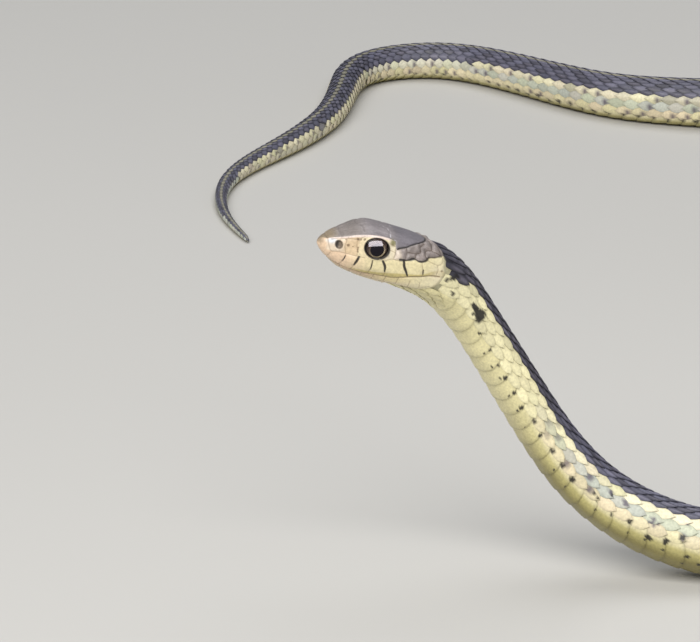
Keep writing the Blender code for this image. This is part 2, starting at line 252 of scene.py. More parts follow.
PARIETAL_EDGE = [(10.95, 67), (11.13, 64.5), (12.17, 55.5), (12.69, 48.5), (13.33, 40)]
PARIETAL_EDGE += [(14.17, 29), (14.85, 16.5), (15.2, 3), (15.2, 0)]
TEMPORAL_EDGE = [(11.53, 85.5), (12.29, 84), (12.93, 80.5), (13.53, 76.5), (14.09, 77.8)]
TEMPORAL_EDGE += [(14.53, 77), (15.21, 69), (15.33, 64), (16.17, 59), (17.0, 51)]
# The black bars between the upper lip's plates: half width, then distance and turn.
LIP_BARS = [
    (0.10, [(3.97, 98), (3.81, 111), (3.72, 118)]),
    (0.20, [(5.80, 92.5), (5.65, 99.5), (5.49, 108), (5.40, 114)]),
    (0.10, [(7.73, 93), (7.77, 104), (7.73, 114)]),
    (0.20, [(9.21, 91), (9.50, 95), (9.72, 100), (9.85, 109)]),
    (0.20, [(12.07, 84), (12.29, 89.5), (12.57, 93.5), (12.97, 98.5), (13.41, 105)]),
    (0.10, [(15.2, 89), (15.5, 95)]),
]
# Lines cut in the head: how deep, half how wide, and half how wide the darker colour along them
# is, in millimetres. Along the mouth that darker colour is painted shade in its gap.
SEAM_DEPTH, SEAM_HALF, SEAM_STAIN = 0.05, 0.08, 0.075
MOUTH_DEPTH, MOUTH_HALF, MOUTH_SHADE_HALF = 0.20, 0.11, 0.10
PARIETAL_DEPTH, PARIETAL_HALF = 0.07, 0.10
NOSTRIL_DEPTH = 0.34

# Where one colour gives way to the next: distance and turn. The canthus is the ridge from the
# snout over the eye, and the band is the dark back.
CROWN_START = 10.7
CANTHUS = [(0, 60), (1.2, 53), (3.4, 53.5), (6.05, 53.5), (7.9, 52), (9.9, 49), (10.4, 52)]
CANTHUS += [(CROWN_START, 68)]
CROWN_EDGE = [(CROWN_START, 68), *PARIETAL_EDGE[1:7], (15.2, 0)]
LABIAL_TOP = [(0, 112), (2.05, 101), (2.69, 95), (3.21, 91.5), (6.6, 91.5), (9.5, 90)]
LABIAL_TOP += [*TEMPORAL_EDGE, (18.0, 42)]
LIP_RIM = [(0, 150), (2, 140), (3.7, 130), (5.3, 125), (7.1, 119.5), (9, 114.5), (11.0, 108.5)]
LIP_RIM += [(12.5, 104), (14.5, 98), (15.7, 93), (17.6, 80)]
BAND_EDGE = [(14, 30), (16, 40), (18.1, 57), (19.3, 68), (20.2, 80), (21.6, 77), (23.1, 75)]
BAND_EDGE += [(24.7, 73), (26.8, 67), (28.5, 66.5), (30, 67.5), (31.2, 70), (600, 70)]

# Scales: the length of body that one takes at each distance, and how the rows share the girth.
PITCHES = [(10, 2.0), (20.5, 2.8), (30, 2.8), (40, 2.93), (66, 2.96), (150, 3.1), (300, 3.1)]
PITCHES += [(455, 2.9)]
TAIL_PITCHES = [(0, 2.5), (0.5, 2.1), (1, 1.4)]
LATTICE_START = 9.0
VENTRALS_START = 20.5
EDGE_SHARE = 0.66
LOW_ROWS = (1.85, 1.70, 1.58)
ROWS = [(0.0, 9), (290.0, 8), (455.0, 6), (490.0, 5), (525.0, 4), (560.0, 3), (585.0, 2)]
GULAR_ROWS, GULAR_ROW = 5, 1.2
TAIL_BARE, TAIL_SCUTES_BARE = 1.6, 4.0
FINE_SCALES_END = 112.0
FINE_SCALE, COARSE_SCALE = (9, 10), (6, 6)
FINE_SCUTE, COARSE_SCUTE, TAIL_SCUTE = (12, 89), (5, 37), (5, 13)
SCALE_THICK, SCUTE_THICK = 0.10, 0.12
SCALE_WIDEST = 0.42
NECK_ENDS = (34, 60)
UNDER_TURN = 121
FLECKED = 0.30


def smooth(knots, values, at, limited=True):
    """A cubic through the values. Limited slopes keep it from swinging past any of them, and
    the others give it an even bend."""
    knots, values = np.asarray(knots, float), np.asarray(values, float)
    step = np.diff(knots)
    secant = np.diff(values) / step
    if limited:
        slope = np.empty(len(knots))
        slope[0], slope[-1] = secant[0], secant[-1]
        product = secant[:-1] * secant[1:]
        total = np.where(product > 0, secant[:-1] + secant[1:], 1.0)
        slope[1:-1] = np.where(product > 0, 2 * product / total, 0.0)
    else:
        rows = np.zeros((len(knots), len(knots)))
        pull = np.zeros(len(knots))
        rows[0, :2] = 2, 1
        rows[-1, -2:] = 1, 2
        pull[0], pull[-1] = 3 * secant[0], 3 * secant[-1]
        for k in range(1, len(knots) - 1):
            rows[k, k - 1 : k + 2] = step[k], 2 * (step[k - 1] + step[k]), step[k - 1]
            pull[k] = 3 * (step[k] * secant[k - 1] + step[k - 1] * secant[k])
        slope = np.linalg.solve(rows, pull)
    at = np.clip(np.asarray(at, float), knots[0], knots[-1])
    i = np.clip(np.searchsorted(knots, at, side="right") - 1, 0, len(step) - 1)
    t = (at - knots[i]) / step[i]
    return (
        values[i] * (1 + 2 * t) * (1 - t) ** 2
        + slope[i] * step[i] * t * (1 - t) ** 2
        + values[i + 1] * t * t * (3 - 2 * t)
        - slope[i + 1] * step[i] * t * t * (1 - t)
    )


def through(table, at):
    knots, values = zip(*table)
    return np.interp(at, knots, values)


def fade(value, low, high):
    """0 under low and 1 over high, with an even slope between."""
    t = np.clip((value - low) / (high - low), 0, 1)
    return t * t * (3 - 2 * t)


def within(value, low, high, soft):
    return fade(value, low - soft, low + soft) * (1 - fade(value, high - soft, high + soft))


def linear(red, green, blue):
    """A colour from its usual 0 to 255 values."""
    share = np.array([red, green, blue], float) / 255
    return np.where(share > 0.04045, ((share + 0.055) / 1.055) ** 2.4, share / 12.92)


def mix(first, second, share):
    share = np.asarray(share, float)[..., None]
    return first * (1 - share) + second * share


def toned(value, first, tones):
    """Colours one after another, each fading in between its two values."""
    colour = first
    for low, high, tone in tones:
        colour = mix(colour, tone, fade(value, low, high))
    return colour


def bell(at, down, place, spread, turn, turn_spread):
    """A soft round patch: 1 at its middle, and less and less round it."""
    return np.exp(-(((at - place) / spread) ** 2) - ((down - turn) / turn_spread) ** 2)


def line_of(distance, half):
    """1 on a line, and less and less beside it."""
    return np.exp(-((distance / half) ** 2))


def ripple(points, size, seed, waves=7):
    """A smooth uneven value about 0, by place, that changes over about the given size."""
    random = np.random.default_rng(seed)
    total = np.zeros(points.shape[:-1])
    for _ in range(waves):
        way = random.normal(size=3)
        way *= random.uniform(0.6, 1.6) * math.tau / size / np.linalg.norm(way) / 2
        total += np.sin(points @ way + random.uniform(0, math.tau))
    return total / math.sqrt(waves)


def uneven(points, strength, size, seed):
    """About 1, and a little more or less by place."""
    return 1 + strength * ripple(points, size, seed)


def per_plate(values):
    """One value for each plate, to go with the plates' rows and columns."""
    return values[:, None, None]


class Snake:
    """The snake's middle line, and its section at each distance from the snout."""

    def __init__(self):
        route = np.array(ROUTE, float)
        chord = np.linalg.norm(np.diff(route[:, :3], axis=0), axis=1)
        knots = np.concatenate([[0.0], np.cumsum(chord)])
        fine = np.arange(0.0, knots[-1], FINENESS)
        line = np.stack([smooth(knots, route[:, k], fine, limited=k == 3) for k in range(4)], 1)
        line[:, 2] = FLOOR_BLEND * np.logaddexp(0.0, line[:, 2] / FLOOR_BLEND)
        reach = np.linalg.norm(np.diff(line[:, :3], axis=0), axis=1)
        along = np.concatenate([[0.0], np.cumsum(reach)])
        self.length = float(along[-1])
        self.vent = self.length - TAIL_LENGTH
        tail = [(self.vent + share * TAIL_LENGTH, *rest) for share, *rest in TAIL_SIZES]
        sizes = np.array(SIZES + tail)
        self.at = np.arange(0.0, self.length, FINENESS)
        self.sizes = np.stack([smooth(sizes[:, 0], sizes[:, k], self.at) for k in range(1, 6)], 1)
        x, y, height, twist = (np.interp(self.at, along, line[:, k]) for k in range(4))
        self.twist = np.radians(twist)
        depth = self.depth()
        over = np.logaddexp(0.0, (height - depth) / FLOOR_BLEND) * FLOOR_BLEND
        lying = self.at > RAISED_LENGTH
        self.middle = np.stack([x, y, np.where(lying, depth + over, height)], 1)
        self.middle[:, :2] -= CENTRE
        self.tangent = np.gradient(self.middle, self.at, axis=0)
        self.tangent /= np.linalg.norm(self.tangent, axis=1)[:, None]
        ahead = self.tangent
        back = np.array([0.0, 0.0, 1.0]) - ahead * ahead[:, 2:]
        back /= np.linalg.norm(back, axis=1)[:, None]
        side = np.cross(ahead, back)
        self.back = back * np.cos(self.twist)[:, None] - side * np.sin(self.twist)[:, None]
        self.side = np.cross(ahead, self.back)

    def depth(self):
        """How far the lowest corner of each section of the solids is under the middle line."""
        wide, high, deep, top, bottom = self.sizes.T
        lowest = np.zeros(len(self.at))
        for k in range(LOWEST_SIDES):
            angle = (k + 0.5) * math.tau / LOWEST_SIDES
            sine, cosine = math.sin(angle), math.cos(angle)
            power = 2 / (top if cosine > 0 else bottom)
            across = wide * np.copysign(abs(sine) ** power, sine)
            upright = (high if cosine > 0 else deep) * np.copysign(abs(cosine) ** power, cosine)
            down = across * np.sin(self.twist) - upright * np.cos(self.twist)
            lowest = np.maximum(lowest, down)
        return lowest * self.taper(self.at)

    def taper(self, at):
        """Brings the section to nothing at the snout and at the tail tip."""
        snout = np.clip(at / SNOUT_CAP, 0, 1) ** SNOUT_POINT
        tip = np.sqrt(np.clip((self.length - at) / TAIL_CAP, 0, 1))
        return snout * tip

    def read(self, rows, at):
        """Values kept along the middle line, at any distance."""
        return np.stack([np.interp(at, self.at, rows[:, k]) for k in range(rows.shape[1])], -1)

    def axes(self, at):
        """The ways ahead and up through the back at one distance."""
        return self.read(self.tangent, at), self.read(self.back, at)

    def relief(self, at, turn):
        """How far the forms of the head raise or sink the skin."""
        down = np.degrees(np.arccos(np.cos(np.radians(turn))))
        total = np.zeros(np.shape(at))
        for height, *spot in HEAD_FORMS:
            total += height * bell(at, down, *spot)
        return np.where(at > HEAD_END, 0.0, total)

    def section(self, at, turn, rise=0.0):
        """Sideways and upward distance from the middle line, of a point on the skin or over it."""
        at, turn, rise = np.broadcast_arrays(np.asarray(at, float), turn, rise)
        sine, cosine = np.sin(np.radians(turn)), np.cos(np.radians(turn))
        wide, high, deep, top, bottom = np.moveaxis(self.read(self.sizes, at), -1, 0)
        taper = self.taper(at)
        square = np.where(cosine > 0, top, bottom)
        tall = np.where(cosine > 0, high, deep)
        across = np.copysign(np.abs(sine) ** (2 / square), sine)
        upright = np.copysign(np.abs(cosine) ** (2 / square), cosine)
        out_across = np.copysign(np.abs(across) ** (square - 1), across) / wide
        out_upright = np.copysign(np.abs(upright) ** (square - 1), upright) / tall
        size = np.hypot(out_across, out_upright)
        across, upright = across * wide * taper, upright * tall * taper
        grown = 1 + self.relief(at, turn) * taper / np.maximum(np.hypot(across, upright), 1e-6)
        out_across, out_upright = out_across / size * rise, out_upright / size * rise
        return across * grown + out_across, upright * grown + out_upright

    def surface(self, at, turn, rise=0.0):
        """Points on the skin, or over it by a rise, in millimetres in the scene."""
        across, upright = self.section(at, turn, rise)
        at = np.broadcast_to(np.asarray(at, float), across.shape)
        points = self.read(self.middle, at)
        points += self.read(self.side, at) * across[..., None]
        points += self.read(self.back, at) * upright[..., None]
        return points


class Girth:
    """Turns a share of the way from back to belly, along the skin, into degrees and back."""

    STEPS = 90

    def __init__(self, snake):
        self.stations = np.concatenate([np.arange(0.5, 30, 1.0), np.arange(30, snake.length, 4.0)])
        fine = np.linspace(0, 180, 721)
        shares = np.linspace(0, 1, self.STEPS + 1)
        self.table, self.half = [], []
        for at in self.stations:
            points = snake.surface(np.full(len(fine), at), fine)
            walked = np.linalg.norm(np.diff(points, axis=0), axis=1)
            walked = np.concatenate([[0.0], np.cumsum(walked)])
            self.half.append(walked[-1])
            self.table.append(np.interp(shares, walked / walked[-1], fine))
        self.table = np.array(self.table)

    def turn(self, at, share):
        """The turn of a share, between the stations' own."""
        at, share = np.broadcast_arrays(np.asarray(at, float), share)
        lap = np.mod(share, 2.0)
        down = np.where(lap > 1, 2 - lap, lap)
        row = np.interp(at, self.stations, np.arange(len(self.stations)))
        i = np.minimum(row.astype(int), len(self.stations) - 2)
        t = row - i
        column = down * self.STEPS
        j = np.minimum(column.astype(int), self.STEPS - 1)
        u = column - j
        table = self.table
        value = (1 - t) * ((1 - u) * table[i, j] + u * table[i, j + 1])
        value += t * ((1 - u) * table[i + 1, j] + u * table[i + 1, j + 1])
        return np.where(lap > 1, 360 - value, value)

    def half_girth(self, at):
        """How far it is from back to belly along the skin."""
        return np.interp(at, self.stations, self.half)


def down_of(turn):
    """Degrees down from the back on either side."""
    return 180 - np.abs(180 - np.mod(turn, 360))


# Colours, by what they are on, as a plain light shows them; a few marked below are painted light.
SNOUT = linear(222, 194, 164)
ROSTRAL_TOP = linear(136, 122, 102)
CROWN = linear(124, 117, 119)
CROWN_FRONT = linear(124, 116, 112)
PARIETAL = linear(112, 107, 113)
# Painted highlight: the pale glints on the crown's seams.
GLINT = linear(206, 202, 206)
CANTHUS_LINE = linear(226, 208, 200)
NASAL = linear(222, 204, 180)
NASAL_WHITE = linear(218, 220, 224)
# Painted shade: the dark of the nostril's opening.
NOSTRIL = linear(104, 90, 76)
LOREAL = linear(208, 184, 150)
PREOCULAR = linear(222, 206, 170)
POSTOCULAR = linear(222, 210, 182)
HEAD_FLECK = linear(96, 72, 50)
OLIVE = linear(122, 118, 80)
TEMPORAL = linear(132, 122, 118)
TEMPORAL_FRONT = linear(206, 192, 176)
LABIAL = linear(216, 204, 162)
# The lip's own olive tint, darkened as painted shade where the upper lip turns under to the mouth.
LIP_OLIVE_SHADE = linear(186, 170, 104)
LOWER_LIP = linear(208, 182, 150)
LOWER_LIP_REAR = linear(222, 206, 158)
CHIN = linear(214, 198, 164)
THROAT = linear(226, 216, 178)
JAW_CORNER = linear(220, 208, 180)
# Painted shade: the dark of the mouth's gap between the lips.
MOUTH_LINE = linear(120, 86, 60)
BLACK = linear(22, 18, 18)
SEAM = linear(120, 96, 72)
SEAM_DARK = linear(60, 54, 56)
NECK_CREAM = linear(236, 228, 184)
NECK_DARK = linear(54, 52, 62)
SCALE_LIGHT = linear(140, 134, 150)
BODY_SLATE = linear(84, 84, 100)
STRIPE = linear(150, 146, 122)
ROW_CREAM = linear(226, 218, 186)
ROW_GREY = linear(188, 192, 180)
ROW_LOW = linear(220, 208, 172)
FLECK = linear(70, 58, 82)
PINKISH = linear(226, 196, 178)
GREENISH = linear(206, 210, 140)
BELLY_TOP = linear(216, 207, 166)
BELLY_END = linear(180, 171, 112)
BELLY = linear(146, 136, 78)
NECK_BELLY = linear(224, 215, 166)
PUPIL = linear(12, 6, 18)
IRIS_RING = linear(196, 178, 146)
IRIS_DARK = linear(60, 44, 44)
IRIS = linear(66, 54, 50)

# Black marks that the photo shows on the camera's side: distance, turn and radius.
SEEN_MARKS = [
    (25.73, 95.5, 0.34),
    (26.15, 95.0, 0.38),
    (26.57, 94.8, 0.42),
    (27.00, 94.5, 0.46),
    (27.41, 93.0, 0.60),
    (28.17, 93.5, 0.86),
    (28.49, 97.5, 0.78),
    (27.85, 99.5, 0.62),
    (27.37, 101.5, 0.46),
    (26.93, 106.0, 0.34),
    (21.29, 109.0, 0.30),
    (20.97, 106.5, 0.14),
    (30.73, 121.5, 0.30),
    (31.00, 118.0, 0.14),
    (19.10, 91.5, 0.26),
    (19.35, 89.5, 0.34),
    (19.65, 87.0, 0.40),
    (19.80, 83.5, 0.42),
    (19.97, 80.5, 0.42),
    (20.29, 76.0, 0.42),
    (19.25, 75.0, 0.36),
    (18.97, 80.5, 0.15),
    (64.86, 102.0, 0.24),
    (65.88, 107.0, 0.20),
    (66.00, 112.0, 0.20),
    (66.72, 133.0, 0.26),
    (67.44, 89.5, 0.26),
    (69.06, 113.5, 0.18),
    (69.06, 118.0, 0.18),
    (69.06, 122.0, 0.16),
    (72.12, 111.0, 0.36),
    (72.78, 140.0, 0.22),
    (75.60, 130.0, 0.44),
    (75.30, 136.0, 0.24),
    (75.96, 131.5, 0.34),
    (78.30, 120.0, 0.46),
    (78.36, 143.5, 0.27),
    (82.14, 142.5, 0.37),
    (81.90, 167.0, 0.24),
    (84.06, 157.5, 0.32),
    (80.50, 103.0, 0.38),
    (81.42, 104.0, 0.24),
    (80.88, 111.0, 0.22),
]
# Violet flecks on the same side, and the small brown ones in front of the eye.
SEEN_FLECKS = [
    (66.84, 86.5, 0.50),
    (69.70, 87.0, 0.42),
    (70.20, 91.0, 0.42),
    (75.30, 94.5, 0.72),
    (74.80, 97.5, 0.34),
    (76.20, 95.0, 0.34),
    (80.64, 101.5, 0.62),
    (80.64, 82.0, 0.30),
]
HEAD_FLECKS = [
    (4.01, 76.5, 0.24),
    (5.45, 84.5, 0.15),
    (5.43, 81.0, 0.14),
    (5.50, 87.0, 0.13),
    (5.17, 62.0, 0.24),
    (5.60, 62.5, 0.20),
    (6.10, 62.5, 0.20),
    (3.55, 62.0, 0.16),
    (4.69, 79.0, 0.12),
    (17.73, 81.0, 0.17),
]
SEEN_MARKS_SPAN = (63.0, 86.0)
MARK_END, MARK_LOW = 116.0, 142.0
MARKS_START, MARKS_PAST_VENT = 34.0, 60.0

# Colours along a length or down a side: where each one fades in, after the first.
FACE_TONES = [(1.0, 1.5, NASAL), (2.9, 4.0, LOREAL), (5.2, 5.8, PREOCULAR), (9.0, 9.8, POSTOCULAR)]
CROWN_TONES = [(1.4, 2.8, CROWN_FRONT), (4.5, 7.5, CROWN), (9.8, 11.5, PARIETAL)]
LIP_TONES = [(3.0, 8.5, LABIAL), (15, 18, THROAT)]
ROW_TONES = [(78, 86, ROW_GREY), (95, 103, ROW_LOW)]
BELLY_TONES = [(116, 134, BELLY_END), (132, 164, BELLY)]
# Soft patches of colour on the head: distance, its spread, turn and its spread.
NASAL_PATCH = (1.75, 0.55, 66, 11)
OLIVE_PATCH = (10.12, 0.36, 56.5, 7.5)
CORNER_PATCH = (17.6, 1.1, 88, 13)


def sampled(snake, line, on_crown=False):
    """Points every little way along a seam, in millimetres in the scene."""
    line = np.array(line, float)
    if on_crown:
        wide, square = snake.read(snake.sizes, line[:, 0])[:, [0, 3]].T
        share = np.clip(line[:, 1] / (wide * snake.taper(line[:, 0])), 0, 1)
        line[:, 1] = np.degrees(np.arcsin(share ** (square / 2)))
    reach = np.hypot(np.diff(line[:, 0]), np.diff(line[:, 1]) * 0.07)
    knots = np.concatenate([[0.0], np.cumsum(reach)])
    walk = np.linspace(0, knots[-1], max(8, int(knots[-1] / 0.04)))
    at = smooth(knots, line[:, 0], walk)
    turn = smooth(knots, line[:, 1], walk)
    return snake.surface(at, turn)


def nearest(points, samples):
    """Distance from each point to the nearest sample, and which one it is."""
    tree = kdtree.KDTree(len(samples))
    for k, sample in enumerate(samples.tolist()):
        tree.insert(sample, k)
    tree.balance()
    found = [tree.find(point)[1:] for point in points.reshape(-1, 3).tolist()]
    index, distance = np.array(found).T
    return distance.reshape(points.shape[:-1]), index.astype(int).reshape(points.shape[:-1])


def mouth_turn(snake, at):
    """The turn of the mouth's line."""
    deep, bottom = np.moveaxis(snake.read(snake.sizes, at), -1, 0)[[2, 4]]
    height = smooth(*zip(*MOUTH), at)
    share = np.clip(-height / (deep * snake.taper(at)), 0, 1)
    return 180 - np.degrees(np.arccos(share ** (bottom / 2)))


def covered(at, turn):
    """1 where scales cover the skin, and 0 on the head's plates."""
    start = through(SCALES_START, down_of(turn))
    return fade(at, start - 0.1, start + 0.9)


def thinned(girth, at):
    """Scales get thinner where the tail does."""
    return np.clip(girth.half_girth(at) / 11, 0.12, 1)


class Marks:
    """The black marks along the ends of the belly scutes, and where the photo shows others."""

    def __init__(self, snake, edges):
        random = np.random.default_rng(5)
        places = []
        for start, end in zip(edges, edges[1:]):
            if start < MARKS_START or end > snake.vent + MARKS_PAST_VENT:
                continue
            size = 1.0 if end < snake.vent else 0.6
            for side in (1, -1):
                if side == 1 and SEEN_MARKS_SPAN[0] < start < SEEN_MARKS_SPAN[1]:
                    continue
                at = start - 0.35 + random.uniform(-0.2, 0.3)
                turn = MARK_END + random.uniform(-6, 9)
                places.append((at, side * turn, size * random.uniform(0.34, 0.52)))
                turn = MARK_LOW + random.uniform(-4, 4)
                if random.uniform() < 0.85:
                    at += random.uniform(-0.3, 0.5)
                    places.append((at, side * turn, size * random.uniform(0.16, 0.30)))
        for at, turn, size in SEEN_MARKS:
            places.append((at, turn, size))
            if at < MARKS_START:
                places.append((at + 1.3, -turn, size * 0.8))
        places, flecks = np.array(places), np.array(SEEN_FLECKS)
        self.centres = snake.surface(places[:, 0], places[:, 1])
        self.sizes = places[:, 2] * (1 + 0.25 * fade(places[:, 0], 50, 60))
        self.fleck_centres = snake.surface(flecks[:, 0], flecks[:, 1])
        self.fleck_sizes = flecks[:, 2]

    def on(self, points):
        """How black each point is."""
        distance, which = nearest(points, self.centres)
        share = distance / (self.sizes[which] * uneven(points, 0.22, 0.7, 21))
        return 1 - fade(share, 0.78, 1.10)

    def fleck(self, points):
        """How violet each point is."""
        distance, which = nearest(points, self.fleck_centres)
        share = distance / (self.fleck_sizes[which] * uneven(points, 0.30, 0.6, 22))
        return 1 - fade(share, 0.55, 1.15)


def side_tint(at, turn, points):
    """The colour of the back and sides behind the head."""
    down = down_of(turn)
    neck = 1 - fade(at, 42, 60)
    dark = mix(BODY_SLATE, NECK_DARK, neck)
    dark = dark * uneven(points, 0.14, 2.6, 3)[..., None]
    row = np.where(down > 36, 0.5, 0.0)
    check = fade(np.cos(math.tau * (at / 6.4 + row)), 0.1, 0.7)
    check *= within(down, 14, 58, 5) * fade(at, *NECK_ENDS)
    dark = mix(dark, BLACK, 0.55 * check)
    pale = mix(toned(down, ROW_CREAM, ROW_TONES), NECK_CREAM, neck)
    pale = pale * uneven(points, 0.05, 2.2, 4)[..., None]
    edge = through(BAND_EDGE, at) + 1.2 * ripple(points, 3.0, 6)
    tint = mix(dark, pale, fade(down, edge - 2, edge + 2))
    stripe = (1 - fade(down, 6, 10)) * fade(at, 20, 30)
    return mix(tint, STRIPE, 0.75 * stripe)


def belly_tint(at, turn, points):
    """The colour of the belly, darker towards its middle and pale under the neck."""
    neck = 1 - fade(at, 40, 62)
    tint = mix(toned(down_of(turn), BELLY_TOP, BELLY_TONES), NECK_BELLY, neck)
    return tint * uneven(points, 0.05, 2.5, 8)[..., None]


def head_tint(at, down, points, near):
    """The colour of the head's plates, from where they are and how near their seams are."""
    canthus = through(CANTHUS, at)
    labial = through(LABIAL_TOP, at)
    rim = through(LIP_RIM, at)
    mouth = near["mouth_turn"]
    tint = toned(at, SNOUT, LIP_TONES)
    face = toned(at, SNOUT, FACE_TONES)
    tint = mix(tint, face, within(down, canthus, labial, 1.5) * (1 - fade(at, 10.5, 10.9)))
    temporal = fade(down, through(CROWN_EDGE, at) - 1, through(CROWN_EDGE, at) + 1)
    temporal = temporal * (1 - fade(down, labial - 1, labial + 1)) * fade(at, 10.55, 10.8)
    grey = mix(TEMPORAL_FRONT, TEMPORAL, fade(at + 0.03 * (80 - down), 11.2, 12.0))
    tint = mix(tint, grey * uneven(points, 0.16, 0.9, 12)[..., None], temporal)
    # The upper lip's rim above the mouth: its olive tint and painted shade where it turns under.
    lip = fade(down, rim - 1.5, rim + 1.5) * (1 - fade(down, mouth - 1, mouth + 1))
    tint = mix(tint, LIP_OLIVE_SHADE, 0.8 * lip * fade(at, 4.0, 7.0))
    under = fade(down, mouth - 0.8, mouth + 0.8)
    below = mix(LOWER_LIP, LOWER_LIP_REAR, fade(at, 6.5, 11))
    below = mix(below, CHIN, fade(down, mouth + 12, mouth + 22))
    below = mix(below, THROAT, fade(at, 11, 17))
    tint = mix(tint, below, under)
    crown = toned(at, ROSTRAL_TOP, CROWN_TONES)
    streaks = ripple(np.stack([at * 0.22, down * 0.085, 0 * at], -1), 0.34, 15)
    crown = crown * (uneven(points, 0.06, 1.6, 14) + 0.06 * streaks)[..., None]
    edge = np.where(at < CROWN_START, canthus, through(CROWN_EDGE, at))
    edge = edge * fade(at, -0.2, 1.3)
    on_crown = 1 - fade(down, edge - 1.2, edge + 1.2 + 14 * (1 - fade(at, 0.6, 1.4)))
    tint = mix(tint, crown, on_crown)
    tip = (1 - fade(at, 0.35, 1.0)) * (1 - fade(down, 70, 105))
    tint = mix(tint, ROSTRAL_TOP, 0.7 * tip)
    line = within(down, canthus - 0.8, canthus + 4.2, 1.2) * within(at, 1.2, 9.8, 0.4)
    tint = mix(tint, CANTHUS_LINE, 0.9 * line)
    white = np.clip(1.5 * bell(at, down, *NASAL_PATCH), 0, 0.9)
    tint = mix(tint, NASAL_WHITE, white * fade(down, 54, 57))
    tint = mix(tint, OLIVE, 0.95 * np.clip(1.4 * bell(at, down, *OLIVE_PATCH), 0, 1))
    tint = mix(tint, JAW_CORNER, 0.7 * bell(at, down, *CORNER_PATCH))
    seam = line_of(near["seam"], SEAM_STAIN)
    tint = mix(tint, SEAM_DARK, seam * on_crown * 0.28)
    tint = mix(tint, SEAM, seam * (1 - on_crown) * 0.50)
    # Painted highlight: pale glints on parts of the crown's seams above the eyes.
    glint = seam * on_crown * within(at, 7.9, 10.6, 0.5) * fade(ripple(points, 0.5, 16), 0.2, 0.8)
    tint = mix(tint, GLINT, 0.75 * glint)
    tint = mix(tint, BLACK, 0.6 * seam * temporal)
    # Painted shade along the mouth's gap between the lips.
    tint = mix(tint, MOUTH_LINE, 0.75 * line_of(near["mouth"], MOUTH_SHADE_HALF))
    tint = mix(tint, BLACK, 0.95 * (1 - fade(near["parietal"], 0.07, 0.17)))
    wander = 0.06 * ripple(points, 0.8, 17)
    strong = 0.95 - 0.45 * fade(at, 15.0, 15.6)
    tint = mix(tint, BLACK, strong * (1 - fade(near["temporal"] + wander, 0.08, 0.24)))
    tint = mix(tint, BLACK, 0.97 * (1 - fade(near["bar"], -0.05, 0.05)))
    tint = mix(tint, HEAD_FLECK, 0.75 * near["fleck"])
    # Painted shade in the nostril's pit: brown over it, and black deep in its part towards the
    # snout.
    tint = mix(tint, NOSTRIL, 0.9 * (1 - fade(near["nostril"], 0.90, 1.12)))
    deep = (1 - fade(near["nostril"], 0.80, 1.02)) * (1 - fade(near["nostril_front"], -0.55, 0.05))
    tint = mix(tint, BLACK, 0.9 * deep)
    eye_rim = 1 - fade(near["eye"], 1.045, 1.13)
    return mix(tint, BLACK, 0.97 * eye_rim)


# A share that is far outside any nostril or eye.
NOWHERE = 9.0


def head_distances(snake, at, points):
    """Distances on the head's left half to its seams and marks. The nostril's and the eye's are
    in shares of their own size."""
    seams = [sampled(snake, line, on_crown=True) for line in CROWN_SEAMS]
    seams += [sampled(snake, line) for line in (*SIDE_SEAMS, PARIETAL_EDGE, TEMPORAL_EDGE)]
    line = np.arange(MOUTH_START, MOUTH_END, 0.03)
    lines = {
        "seam": np.concatenate(seams),
        "parietal": sampled(snake, PARIETAL_EDGE[:-1]),
        "temporal": sampled(snake, TEMPORAL_EDGE),
        "mouth": snake.surface(line, mouth_turn(snake, line)),
    }
    near = {name: nearest(points, samples)[0] for name, samples in lines.items()}
    near["mouth_turn"] = mouth_turn(snake, at)
    bars, thins = [], []
    for half, line in LIP_BARS:
        bars.append(sampled(snake, line))
        thins.append(half * (1 - 0.45 * np.linspace(-0.6, 1, len(bars[-1])) ** 2))
    distance, which = nearest(points, np.concatenate(bars))
    near["bar"] = distance - np.concatenate(thins)[which]
    ahead, back = snake.axes(NOSTRIL_PLACE[0])
    gone = points - snake.surface(*NOSTRIL_PLACE)
    near["nostril_front"] = gone @ ahead / NOSTRIL_RADII[0]
    flat = np.hypot(near["nostril_front"], gone @ back / NOSTRIL_RADII[1])
    near["nostril"] = np.where(np.linalg.norm(gone, axis=-1) < 2, flat, NOWHERE)
    flecks = np.array(HEAD_FLECKS)
    distance, which = nearest(points, snake.surface(flecks[:, 0], flecks[:, 1]))
    share = distance / (flecks[which, 2] * uneven(points, 0.3, 0.4, 23))
    near["fleck"] = 1 - fade(share, 0.5, 1.2)
    centre, side = eye_centre(snake, 1)
    ahead, back = snake.axes(EYE_PLACE[0])
    gone = points - centre
    near["eye_x"], near["eye_z"] = gone @ ahead, gone @ back
    flat = np.hypot(near["eye_x"] / EYE_OPENING[0], near["eye_z"] / EYE_OPENING[1])
    near["eye"] = np.where(gone @ side > -2, flat, NOWHERE)
    return near


def eye_centre(snake, way):
    """The middle of an eye and the way out of the head there: 1 is the left one, -1 the right."""
    at, out, up = EYE_PLACE
    side = snake.read(snake.side, at) * way
    return snake.read(snake.middle, at) + side * out + snake.read(snake.back, at) * up, side


def skin_rows(snake):
    """Distances of the rings: on the head, then in three coarser lengths behind it."""
    snout = SNOUT_CAP * (np.arange(1, SNOUT_ROWS + 1) / SNOUT_ROWS) ** 1.7
    head = np.arange(SNOUT_CAP + HEAD_STEP, FINE_END, HEAD_STEP)
    after = np.arange(FINE_END + 0.3, FINE_END + 1.5, 0.4)
    body = np.arange(FINE_END + 2, snake.vent, BODY_STEP)
    tail = np.arange(snake.vent + BODY_STEP, snake.length - TAIL_CAP, BODY_STEP)
    tip = snake.length - TAIL_CAP * np.linspace(1, 0.1, 8) ** 2
    return [np.concatenate([snout, head]), after, body, np.concatenate([tail, tip])]


